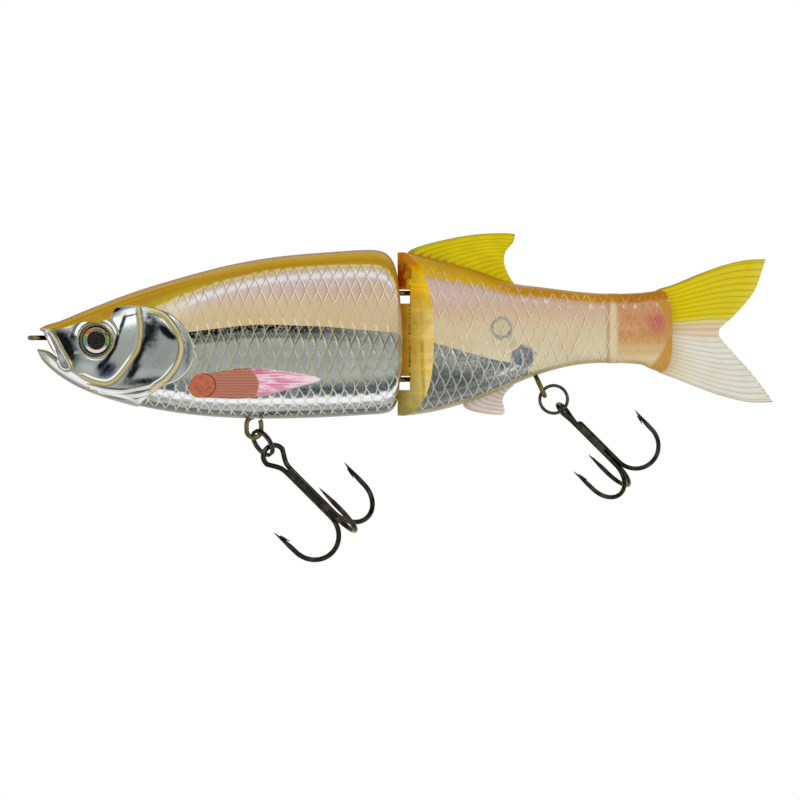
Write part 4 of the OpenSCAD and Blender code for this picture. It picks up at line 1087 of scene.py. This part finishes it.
def fin_finish(name, kind):
    """Soft fin: colour by place along a ray (reach) and across the rays (ray)."""
    f = Finish(name, Alpha=0.94, Coat_Weight=0.03, Coat_Roughness=0.2, Subsurface_Weight=0.15,
               Subsurface_Scale=0.002, Specular_IOR_Level=0.05)
    ray, reach, wave = f.attribute("ray"), f.attribute("reach"), f.attribute("wave")
    cloud = f.noise(5, 2.0)
    # Lighter on the crests of the rays, a painted highlight, and darker between the rays.
    light, dark = wave.rise(0.7, 0.98), wave.fall(0.03, 0.16)
    if kind == "dorsal":
        wedge = reach.fall(0.04, 0.16) * wave.fall(0.3, 0.75)
        colour = f.layers(f.mix("#DCCE00", "#D4C400", cloud.rise(0.4, 0.6)), ("#E8E030", light * 0.2),
                          ("#A89400", dark * 0.55),
                          ("#C0892A", wedge * 0.85), ("#B07A1E", reach.fall(0.0, 0.05)),
                          ("#8D8A1A", ray.fall(0.0, 0.03) + reach.rise(0.985, 1.0) * 0.7))
    elif kind == "anal":
        colour = f.layers(f.mix("#DBCDBE", "#E4DAD0", cloud.rise(0.4, 0.6)), ("#F3EEE8", light * 0.7),
                          ("#C9AFA4", dark * 0.6),
                          ("#C9A9A0", ray.fall(0.0, 0.06) * 0.7), ("#CBB9A6", reach.fall(0.0, 0.15) * 0.5))
    else:
        yellow = ray.fall(0.36, 0.47)
        peach = ray.band(0.43, 0.52, 0.12)
        colour = f.layers(
            f.mix("#DEDECC", "#E2E2D4", cloud.rise(0.4, 0.6)),
            ("#E3D0A4", ray.rise(0.55, 0.65) * reach.fall(0.1, 0.5) * 0.5), ("#DDB98E", peach * 0.8),
            (f.mix("#DCCA00", "#D8C81C", reach.rise(0.2, 0.8)), yellow),
            ("#DED45C", yellow * reach.rise(0.86, 1.0) * 0.5),
            (f.mix("#FFFFFF", "#EDE648", ray.fall(0.4, 0.5)), light * 0.15),
            (f.mix("#B8AF98", "#9C8C00", ray.fall(0.4, 0.5)), dark * 0.5),
            ("#6E4A20", ray.fall(0.0, 0.022) * reach.fall(0.3, 0.7)),
            ("#A89A2A", ray.fall(0.0, 0.02) * 0.7),
            ("#A4977C", ray.rise(0.985, 1.0) * 0.7), ("#B98A4A", reach.fall(0.0, 0.07) * 0.6),
            ("#8C4A3A", reach.rise(0.975, 0.99) * wave.rise(0.8, 0.95) * ray.rise(0.5, 0.6) * 0.6))
    f.set("Base Color", colour)
    f.set("Roughness", 0.36 + (cloud - 0.5) * 0.12)
    f.bump(wave * 0.4 + f.noise(0.6, 2.0) * 0.6, 0.03, 0.4)
    return f.material


def iris_finish():
    """Holographic foil of the iris, with its printed rings and black pupil."""
    f = Finish("holographic_iris", Coat_Weight=0.2, Coat_Roughness=0.05, Coat_IOR=1.3,
               Specular_IOR_Level=0.2)
    x, _, z = f.place()
    dx, dz, r = (x - EYE[0]) / EYE_R, (z - EYE[1]) / EYE_R, f.attribute("radius")
    spark = f.noise(0.55, 3.0)
    jitter = (spark - 0.5) * 0.9
    colour = f.layers(
        "#5B6148", ("#C8611E", (dz - dx * 0.9 + jitter).rise(0.35, 0.8)),
        ("#5FB04A", (dx.abs() - dz.abs() * 0.6 + jitter).rise(0.35, 0.6)),
        ("#D8A23A", (dx + dz * 0.4 + jitter).rise(0.75, 1.0)),
        ("#3F9CC8", (-1.0 * dz - dx + jitter * 0.5).rise(0.55, 0.85)),
        ("#D8EDE6", spark.rise(0.58, 0.66) * 0.35),
        ("#20190F", dz.rise(0.4, 0.7) * r.rise(0.6, 0.7)),
        # Painted reflections: silver arcs in the dark top of the iris and a white crescent in its lower
        # half.
        ("#B9BCB6", r.band(0.68, 0.75, 0.04) * dz.rise(0.4, 0.6) * 0.8),
        ("#EDF4F2", r.band(0.60, 0.76, 0.05) * dz.fall(-0.5, -0.25)),
        ("#15130E", r.band(0.77, 0.86, 0.03) * dz.fall(-0.45, -0.2)),
        ("#1C150B", r.band(0.8, 0.87, 0.03)), ("#B3954A", r.rise(0.87, 0.9)),
        ("#6E4A1C", r.band(0.93, 0.955, 0.015)), ("#C98A3C", r.band(0.555, 0.6, 0.02)),
        ("#0B0B09", r.fall(0.55, 0.57)))
    f.set("Base Color", colour)
    f.set("Metallic", r.band(0.6, 0.86, 0.04) * 0.6)
    f.set("Roughness", 0.25 + (spark - 0.5) * 0.2)
    f.bump(spark, 0.02, 0.4)
    return f.material


def dome_finish():
    """Clear cast resin: seen through, with its own gloss."""
    material = bpy.data.materials.new("clear_dome")
    material.use_nodes = True
    tree = material.node_tree
    tree.nodes.clear()
    out, mix = tree.nodes.new("ShaderNodeOutputMaterial"), tree.nodes.new("ShaderNodeMixShader")
    gloss, clear = tree.nodes.new("ShaderNodeBsdfGlossy"), tree.nodes.new("ShaderNodeBsdfTransparent")
    fresnel = tree.nodes.new("ShaderNodeFresnel")
    fresnel.inputs["IOR"].default_value = 1.12
    noise = tree.nodes.new("ShaderNodeTexNoise")
    noise.inputs["Scale"].default_value = 900
    scratch = tree.nodes.new("ShaderNodeMapRange")
    scratch.inputs["To Min"].default_value, scratch.inputs["To Max"].default_value = 0.02, 0.07
    tree.links.new(noise.outputs["Fac"], scratch.inputs["Value"])
    tree.links.new(scratch.outputs[0], gloss.inputs["Roughness"])
    tree.links.new(fresnel.outputs[0], mix.inputs[0])
    tree.links.new(clear.outputs[0], mix.inputs[1])
    tree.links.new(gloss.outputs[0], mix.inputs[2])
    tree.links.new(mix.outputs[0], out.inputs["Surface"])
    return material


# ---------- fins ----------
def resampled(line, count):
    """count points evenly spaced along a line."""
    line = np.asarray(line, float)
    way = np.concatenate([[0], np.cumsum(np.hypot(*np.diff(line, axis=0).T))])
    if way[-1] == 0:
        return np.repeat(line[:1], count, 0)
    at = np.linspace(0, way[-1], count)
    return np.stack([np.interp(at, way, line[:, i]) for i in range(2)], -1)


def fin(name, node, body, slot, material, root, trailing, leading, lower, rays, half, ray_height):
    """A ray-ribbed sheet between a root, a leading edge, a trailing edge and a lower edge, all [x, z]
    lines. half is its half thickness at the root and at the trailing edge."""
    along, across = 64, rays * 12
    s, t = np.meshgrid(np.linspace(0, 1, along + 1), np.linspace(0, 1, across + 1), indexing="ij")
    r, e = resampled(root, across + 1), resampled(trailing, across + 1)
    u, v = resampled(leading, along + 1), resampled(lower, along + 1)
    s3, t3 = s[..., None], t[..., None]
    place = ((1 - s3) * r[None] + s3 * e[None] + (1 - t3) * u[:, None] + t3 * v[:, None]
             - (1 - s3) * (1 - t3) * r[0] - s3 * (1 - t3) * e[0] - (1 - s3) * t3 * r[-1] - s3 * t3 * e[-1])
    wave = 0.5 + 0.5 * np.cos(2 * math.pi * rays * t)
    rim = np.minimum(smooth(np.minimum(t, 1 - t), -0.012, 0.03), smooth(1 - s, -0.05, 0.05))
    ribs = ray_height * (wave - 0.4) * rim * (1 - 0.5 * s)
    thick = (half[0] + (half[1] - half[0]) * s ** 0.7) * (0.45 + 0.55 * rim) + ribs
    notch = 0.07 * (wave - 1) * smooth(s, 0.9, 1.0)
    push = place - r[None]
    push /= np.maximum(np.linalg.norm(push, axis=-1), 1e-6)[..., None]
    room = smooth(np.linalg.norm(e - r, axis=-1), 1.0, 4.0)
    place = place + push * notch[..., None] * room[None, :, None]
    sheet = np.stack([place[..., 0], thick, place[..., 1]], -1)
    back = sheet * [1, -1, 1]
    count = (along + 1) * (across + 1)
    verts = np.concatenate([sheet.reshape(-1, 3), back.reshape(-1, 3)])

    def a(i, j):
        return i * (across + 1) + j

    faces = [(a(i, j), a(i, j + 1), a(i + 1, j + 1), a(i + 1, j)) for i in range(along)
             for j in range(across)]
    faces += [tuple(count + k for k in f[::-1]) for f in faces]
    loop = ([a(0, j) for j in range(across)] + [a(i, across) for i in range(along)]
            + [a(along, j) for j in range(across, 0, -1)] + [a(i, 0) for i in range(along, 0, -1)])
    faces += [(p, q, count + q, count + p)[::-1] for p, q in zip(loop, loop[1:] + loop[:1])]
    fields = {"ray": np.tile(t.ravel(), 2), "reach": np.tile(s.ravel(), 2),
              "wave": np.tile(wave.ravel(), 2)}
    return build(name, verts, faces, body, [material], slot, [node], fields, sharp=60)


def fins():
    root = [[x, curve(REAR_TOP, x) - 1.4] for x in np.linspace(89.3, 115.0, 16)]
    fin("dorsal_fin_rays", "dorsal_fin", "rear_body", "dorsal_fin_soft",
        fin_finish("dorsal_soft", "dorsal"),
        root + [[115.6, 13.3]],
        through([[115.9, 25.1], [115.4, 23.1], [113.6, 20.9], [113.3, 18], [114.5, 14.9], [115.6, 13.3]]),
        through([[89.3, 19.4], [90.3, 21.1], [93.5, 22.4], [97.7, 23.5], [102.6, 24.5], [108, 25.2],
                 [113.5, 25.35], [115.9, 25.1]]),
        [[115.6, 13.3], [115.6, 13.3]], rays=14, half=(0.5, 0.22), ray_height=0.035)
    root = [[x, curve(REAR_BOTTOM, x) + 1.2] for x in np.linspace(103.2, 115.2, 10)]
    fin("anal_fin_rays", "anal_fin", "rear_body", "anal_fin_soft", fin_finish("anal_soft", "anal"),
        root + [[115.6, -11.5]],
        through([[112.8, -18.7], [113.4, -18.1], [113.2, -16.6], [112.9, -15], [113.8, -13.1],
                 [115.6, -11.5]]),
        through([[103.2, -14.9], [103.6, -16.8], [106, -17.9], [109.5, -18.5], [112.8, -18.7]]),
        [[115.6, -11.5], [115.6, -11.5]], rays=9, half=(0.45, 0.2), ray_height=0.03)
    root = through([[149.4, 10.9], [151.6, 7.6], [152.6, 1.4], [151.4, -4.6], [149.6, -7.6]])
    fin("tail_fin_rays", "tail_fin", "rear_body", "tail_fin_soft", fin_finish("tail_soft", "tail"), root,
        through([[176.6, 19.1], [175.6, 15.9], [174.2, 12], [171.9, 8.6], [168.6, 5], [165.2, 1.3],
                 [168.4, -3.2], [172.2, -7.4], [175.6, -11.6], [178.4, -15.6]]),
        through([[149.4, 10.9], [150.6, 11.8], [154.5, 13], [160, 15.3], [166, 17.5], [171.5, 18.8],
                 [176.6, 19.1]]),
        through([[149.6, -7.6], [151.2, -8.6], [155, -10], [160, -12], [166, -14.1], [172.5, -15.6],
                 [178.4, -15.6]]),
        rays=24, half=(0.66, 0.26), ray_height=0.035)


# ---------- wires, rings and hooks, as in the CAD ----------
WIRE_R, HANGER_R = 0.6, 0.575
HANGER_LOOP_R, HANGER_STRETCH, HANGER_LEAN = 1.775, 1.4, 24.5
FRONT_HANGER, FRONT_HANGER_ANCHOR = [52.6, 0, -24.175], [52.6, 0, -11.5]
REAR_HANGER, REAR_HANGER_ANCHOR = [123.06, 0, -14.08], [112.65, 0, 2.06]
ANCHOR_R, LOOP_FILLET = 2.2, 0.8
X, Y, Z = np.eye(3)


def arc(c, r, a0, a1, n):
    a = np.radians(np.linspace(a0, a1, n + 1))
    return np.stack([c[0] + r * np.cos(a), c[1] + r * np.sin(a)], -1)


def eye_loop(r, f=LOOP_FILLET, n=44):
    reach = math.sqrt(r * r + 2 * r * f)
    bend = math.degrees(math.atan2(f, reach))
    return np.concatenate([arc([-reach, -f], f, 90, bend, 8), arc([0, 0], r, 180 + bend, 480, n)])


def oval_loop(r, s, f=LOOP_FILLET, n=24):
    reach = math.sqrt(r * r + 2 * r * f)
    bend = math.degrees(math.atan2(f, reach))
    return np.concatenate([arc([-r - s - reach, -f], f, 90, bend, 8),
                           arc([-r - s, 0], r, 180 + bend, 270, 8)[1:],
                           arc([-r, 0], r, -90, 90, n), arc([-r - s, 0], r, 90, 128, 5)])


def placed(points, o, u, v):
    return np.asarray(o) + points[:, :1] * np.asarray(u) + points[:, 1:] * np.asarray(v)


def below(degrees):
    return np.array([math.cos(math.radians(degrees)), 0, -math.sin(math.radians(degrees))])


def unit(v):
    return np.asarray(v) / np.linalg.norm(v)


def wire_form(name, node, body, tip_loop, anchor, inner_out, inner_aside, material, radius=WIRE_R):
    inner = placed(eye_loop(ANCHOR_R), anchor, inner_out, inner_aside)
    path = np.concatenate([inner[::-1], tip_loop])
    verts, faces = tube(path, radius, 20)
    build(name, verts, faces, body, [material], "wire_steel", [node], sharp=60)


def wires(material):
    wire_form("line_tie", "line_tie_wire", "front_body", placed(eye_loop(1.65), [0, 0, 0], -X, Y),
              [13, 0, 0], X, Z, material)
    for name, node, z in (("upper_joint_eye", "upper_joint_wire", 10.8),
                          ("lower_joint_eye", "lower_joint_wire", -10.1)):
        wire_form(name, node, "front_body", placed(eye_loop(1.3), [HINGE_X, 0, z], X, Y), [77.5, 0, z], -X,
                  -Z, material)
    hanger = oval_loop(HANGER_LOOP_R, HANGER_STRETCH)
    wire_form("front_hanger", "front_hook_hanger", "front_body", placed(hanger, FRONT_HANGER, -Z, X),
              FRONT_HANGER_ANCHOR, Z, X, material, HANGER_R)
    lean = math.radians(HANGER_LEAN)
    loop = placed(hanger, REAR_HANGER, [math.sin(lean), 0, -math.cos(lean)], Y)
    run = unit(loop[0] - np.array(REAR_HANGER_ANCHOR))
    wire_form("rear_hanger", "rear_hook_hanger", "rear_body", loop, REAR_HANGER_ANCHOR, -run,
              np.cross(Y, run), material, HANGER_R)


RING_R, RING_HALF, RING_T = 3.35, 0.4, 1.2
HOOK_SEAT = 1.65
FRONT_G, REAR_G = below(55), below(21)         # from hanger to ring centre
FRONT_TURN = math.radians(60)                  # between the front ring's axis and the Y axis
FRONT_N = math.cos(FRONT_TURN) * Y + math.sin(FRONT_TURN) * np.cross(FRONT_G, Y)
FRONT_OFFSET, REAR_GAP = 0.4, 0.06             # ring wire from the hanger's lower arc
REAR_SEAT = below(49)                          # from the rear ring's centre to its hook
FRONT_RING = np.array(FRONT_HANGER) + HANGER_LOOP_R * Z + (FRONT_OFFSET + RING_R) * FRONT_G
REAR_RING = np.array(REAR_HANGER) + (RING_R - RING_HALF - HANGER_R - REAR_GAP) * REAR_G


def split_ring(name, node, body, centre, g, n, material):
    """Two flat turns of spring wire side by side, crossing over at the split."""
    turns, steps = 2, 88
    a = np.linspace(0.12, turns * 2 * math.pi - 0.12, turns * steps)
    shift = (RING_T / 4) * (2 * smooth(a, 2 * math.pi - 0.55, 2 * math.pi + 0.55) - 1)
    w = np.cross(n, g)
    path = centre + RING_R * (np.cos(a)[:, None] * g + np.sin(a)[:, None] * w) + shift[:, None] * n
    verts, faces = tube(path, RING_HALF, 16, flat=RING_T / 4 / RING_HALF, up=g)
    build(name, verts, faces, body, [material], "split_ring_steel", [node], sharp=60)


HOOK_R = 0.625
NECK_X, BEND_X, BEND_R, POINT_X, SHANK_R = 7, 22.6, 6.45, 15.6, 0.73
EYE_HALF, EYE_OVAL = 2.35, 1.12
TAPER = 5.2                    # length over which a point tapers
SPREAD = 60                    # each hook of the double from its middle plane, in degrees


def hook_bend(n=40):
    """The bend of one hook and the straight run to its point, [along, out]."""
    steps = np.linspace(0, 1, 15)[1:]
    return np.concatenate([[[BEND_X - 6, SHANK_R]], arc([BEND_X, SHANK_R + BEND_R], BEND_R, -90, 90, n),
                           np.stack([BEND_X - (BEND_X - POINT_X) * steps,
                                     SHANK_R + 2 * BEND_R + 0.5 * steps ** 1.5], -1)])


def bend_radii(p):
    share = np.clip((p[:, 0] - POINT_X) / TAPER, 0, 1)
    return np.where(p[:, 1] < SHANK_R + BEND_R, HOOK_R, HOOK_R * np.maximum(0.04, share ** 0.7))


def turned(p, degrees):
    a = math.radians(degrees)
    return np.stack([p[:, 0], p[:, 1] * math.cos(a), p[:, 1] * math.sin(a)], -1)


def barb(degrees):
    """A sliver raised on the inner side behind the point, leaning back towards the bend."""
    base_x, out = POINT_X + TAPER * 0.62, SHANK_R + 2 * BEND_R + 0.12
    path = np.array([[base_x - 1.5, out - 0.1], [base_x - 0.6, out - 0.42], [base_x + 0.5, out - 0.78],
                     [base_x + 1.25, out - 1.08]])
    path = through(path, 5)
    radii = np.interp(np.linspace(0, 1, len(path)), [0, 0.4, 1], [0.3, 0.27, 0.03])
    return tube(turned(path, degrees), radii, 10)


def treble(prefix, at, roll, scale, body, material):
    """A treble hook: a double bent from one wire, and a single brazed to its shank."""
    side, lift = SHANK_R * math.sin(math.radians(SPREAD)), SHANK_R * math.cos(math.radians(SPREAD))
    half_eye = np.concatenate([[[NECK_X, side], [NECK_X - 1.6, side + 0.35]],
                               arc([EYE_HALF, 0], EYE_HALF, 75, 180, 9)])
    eye = np.array([[x, lift * x / NECK_X * (1 if x > EYE_HALF else 0.3), z * EYE_OVAL]
                    for x, z in half_eye])
    bend = hook_bend()
    radii = bend_radii(bend)
    loop = np.concatenate([[[NECK_X + 3, lift, side]], eye, eye[-2::-1] * [1, 1, -1],
                           [[NECK_X + 3, lift, -side]]])
    loop = through(loop, 5)
    path = np.concatenate([turned(bend, SPREAD)[::-1], loop, turned(bend, -SPREAD)])
    double = joined(tube(path, np.concatenate([radii[::-1], np.full(len(loop), HOOK_R), radii]), 16),
                    barb(SPREAD), barb(-SPREAD))
    single = np.concatenate([[[NECK_X + 0.2, -SHANK_R * 0.8, 0], [NECK_X + 0.9, -SHANK_R, 0]],
                             turned(bend, 180)])
    single = joined(tube(single, np.concatenate([[HOOK_R * 0.5, HOOK_R], radii]), 16), barb(180))
    collar_x = np.linspace(NECK_X + 0.4, BEND_X - 5.0, 30)
    swell = 1.02 + 0.10 * np.sin(np.linspace(0, math.pi, 30)) ** 0.5
    seam = tube(np.stack([collar_x, 0 * collar_x, 0 * collar_x], -1), swell * 0.86, 18)
    single = joined(single, seam)
    g = below(45)
    w = np.cross(Y, g)
    roll = math.radians(roll)
    turn = np.stack([g, math.cos(roll) * w + math.sin(roll) * Y, -math.sin(roll) * w + math.cos(roll) * Y])
    for (verts, faces), which in ((double, "double"), (single, "single")):
        build(f"{prefix}_treble_{which}_hook", at + scale * (verts @ turn), faces, body, [material],
              "hook_steel", [f"{prefix}_treble_{which}"], sharp=60)


# ---------- eyes ----------
def eye_point(side, u, v, out):
    """A place on the eye: u towards the tail and v up from its centre, out from the socket floor."""
    a = math.radians(EYE_TURN)
    x = EYE[0] + u * math.cos(a) - out * math.sin(a)
    y = EYE_Y + out * math.cos(a) + u * math.sin(a)
    return [x, side * y, EYE[1] + v]


def lens(name, node, side, low, high_of, material, slot):
    """A round disc whose upper face follows high_of(radius share)."""
    rings, sides = 28, 96
    verts, share = [], []
    for level, values in (("top", np.linspace(0, 1, rings + 1)[1:]), ("rim", [1.0])):
        for r in values:
            out = high_of(r) if level == "top" else low
            for j in range(sides):
                t = 2 * math.pi * j / sides
                verts.append(eye_point(side, EYE_R * r * math.cos(t), EYE_R * r * math.sin(t), out))
                share.append(r)
    verts.append(eye_point(side, 0, 0, high_of(0)))
    share.append(0)
    centre = len(verts) - 1
    faces = [(centre, j, (j + 1) % sides) for j in range(sides)]
    for i in range(rings):
        a, b = i * sides, (i + 1) * sides
        faces += [(a + j, b + j, b + (j + 1) % sides, a + (j + 1) % sides) for j in range(sides)]
    faces.append(tuple(rings * sides + j for j in range(sides - 1, -1, -1)))
    if side > 0:
        faces = [f[::-1] for f in faces]
    build(name, verts, faces, "front_body", [material], slot, [node], {"radius": share}, sharp=50)


def eyes():
    iris, dome = iris_finish(), dome_finish()
    cap = (EYE_R ** 2 + DOME_H ** 2) / (2 * DOME_H)
    for side in (LEFT, RIGHT):
        lens(f"{SIDE_NAMES[side]}_iris_foil", f"{SIDE_NAMES[side]}_eye_iris", side, 0.0,
             lambda r: IRIS_T - 0.02 - 0.12 * math.exp(-((r - 0.55) / 0.03) ** 2), iris, "eye_iris")
        lens(f"{SIDE_NAMES[side]}_dome_lens", f"{SIDE_NAMES[side]}_eye_dome", side, IRIS_T,
             lambda r: IRIS_T + DOME_H - cap + math.sqrt(cap ** 2 - (EYE_R * r) ** 2), dome, "eye_dome")


# ---------- assembly ----------
def shells():
    front, rear, faces = front_paint(), rear_paint(), nose_plastic()
    front_a = even_girth((FRONT_TOP, FRONT_BOTTOM, FRONT_WIDTH), x=60, count=232)
    rear_a = even_girth((REAR_TOP, REAR_BOTTOM, REAR_WIDTH), x=100, count=212)
    front_x, rear_x = stations_for(FRONT_X[0], FRONT_X[3]), stations_for(REAR_X[0], REAR_X[3])

    for side in (LEFT, RIGHT):
        shell = half_shell("front", side, front_skin, front_fields, front_relief, front_x, front_a, FRONT_X,
                           False, [front, faces])
        cut(shell, [prism("mouth_cut", MOUTH, -20, 20, [front, faces]), eye_socket(side, [front, faces])])
        shell = half_shell("rear", side, rear_skin, rear_fields, rear_relief, rear_x, rear_a, REAR_X,
                           True, [rear, faces])
        cut(shell, [wire_slot(centre, [rear, faces]) for centre in SLOT_CENTRES])


def wire_slot(centre, materials):
    """Cutting block for the slot in the rear section's nose that takes one wire eye of the joint."""
    low, high = centre - SLOT_HEIGHT / 2, centre + SLOT_HEIGHT / 2
    outline = [[SLOT_END - SLOT_CUT, low], [SLOT_END, low], [SLOT_END, high], [SLOT_END - SLOT_CUT, high]]
    return prism("slot_cut", outline, -SLOT_HALF_WIDTH, SLOT_HALF_WIDTH, materials)


def eye_socket(side, materials):
    """Cutting block for one eye's round socket."""
    sides, depth, radius = 96, 6, EYE_R + 0.05
    ring = [2 * math.pi * j / sides for j in range(sides)]
    floor_loop, far_loop = [[eye_point(side, radius * math.cos(t), radius * math.sin(t), out) for t in ring]
                            for out in (0, depth)]
    return cutter("eye_cut", floor_loop, far_loop, materials, side < 0)


def carried_over():
    """The CAD nodes that stay, each with a finish of its own."""
    pin = plain("pin_steel", ("#9A9A96", "#B9B9B4"), size=1.2, stretch=(1, 1, 0.2), rough=(0.25, 0.1),
                metal=1.0, depth=0.01)
    lead = plain("ballast_steel", ("#6F7173", "#8B8D8E"), size=0.9, rough=(0.35, 0.15), metal=1.0)
    plug = plain("plug_plastic", ("#B9A56A", "#A8935A"), size=1.0, Coat_Weight=0.6)
    finishes = {"hinge_pin": pin, "tail_lock_pin": pin, "hinge_pin_plug": plug, "rear_ballast": lead,
                **{f"front_ballast_{i}": lead for i in (1, 2, 3, 4)}}
    for node, material in finishes.items():
        obj = NODES[node]
        obj.data.materials.clear()
        obj.data.materials.append(material)


def floor():
    """A plain pale disc of paper under the lure."""
    rings, sides, radius, level = 12, 96, 0.95, -0.2
    verts = [(MIDDLE[0], 0, level)]
    for i in range(1, rings + 1):
        r = radius * i / rings
        turns = [2 * math.pi * j / sides for j in range(sides)]
        verts += [(MIDDLE[0] + r * math.cos(t), r * math.sin(t), level) for t in turns]
    faces = [(0, 1 + j, 1 + (j + 1) % sides) for j in range(sides)]
    for i in range(rings - 1):
        a, b = 1 + i * sides, 1 + (i + 1) * sides
        faces += [(a + j, b + j, b + (j + 1) % sides, a + (j + 1) % sides) for j in range(sides)]
    mesh = bpy.data.meshes.new("floor")
    mesh.from_pydata(verts, [], faces)
    obj = linked("floor", mesh)
    f = Finish("floor_paper", Emission_Strength=0.1)
    f.set("Base Color", f.mix("#EFEFEE", "#F4F4F3", f.noise(30)))
    f.set("Roughness", 0.8)
    f.set("Emission Color", "#FFFFFF")
    mesh.materials.append(f.material)


bpy.context.scene.view_settings.view_transform = "Standard"
studio()
floor()
shells()
fins()
wires(plain("wire_steel", ("#7C7146", "#5A5234"), size=1.5, rough=(0.22, 0.12), metal=1.0, depth=0.01))
ring_steel = plain("split_ring_steel", ("#56524A", "#3A3731"), size=1.4, rough=(0.24, 0.14), metal=1.0,
                   depth=0.01)
split_ring("front_ring_coil", "front_split_ring", "front_ring", FRONT_RING, FRONT_G, FRONT_N, ring_steel)
split_ring("rear_ring_coil", "rear_split_ring", "rear_ring", REAR_RING, REAR_G, Y, ring_steel)
nickel = hook_steel()
treble("front", FRONT_RING + HOOK_SEAT * FRONT_G, roll=80, scale=1.0, body="front_hook", material=nickel)
treble("rear", REAR_RING + HOOK_SEAT * REAR_SEAT, roll=15, scale=0.89, body="rear_hook", material=nickel)
eyes()
carried_over()
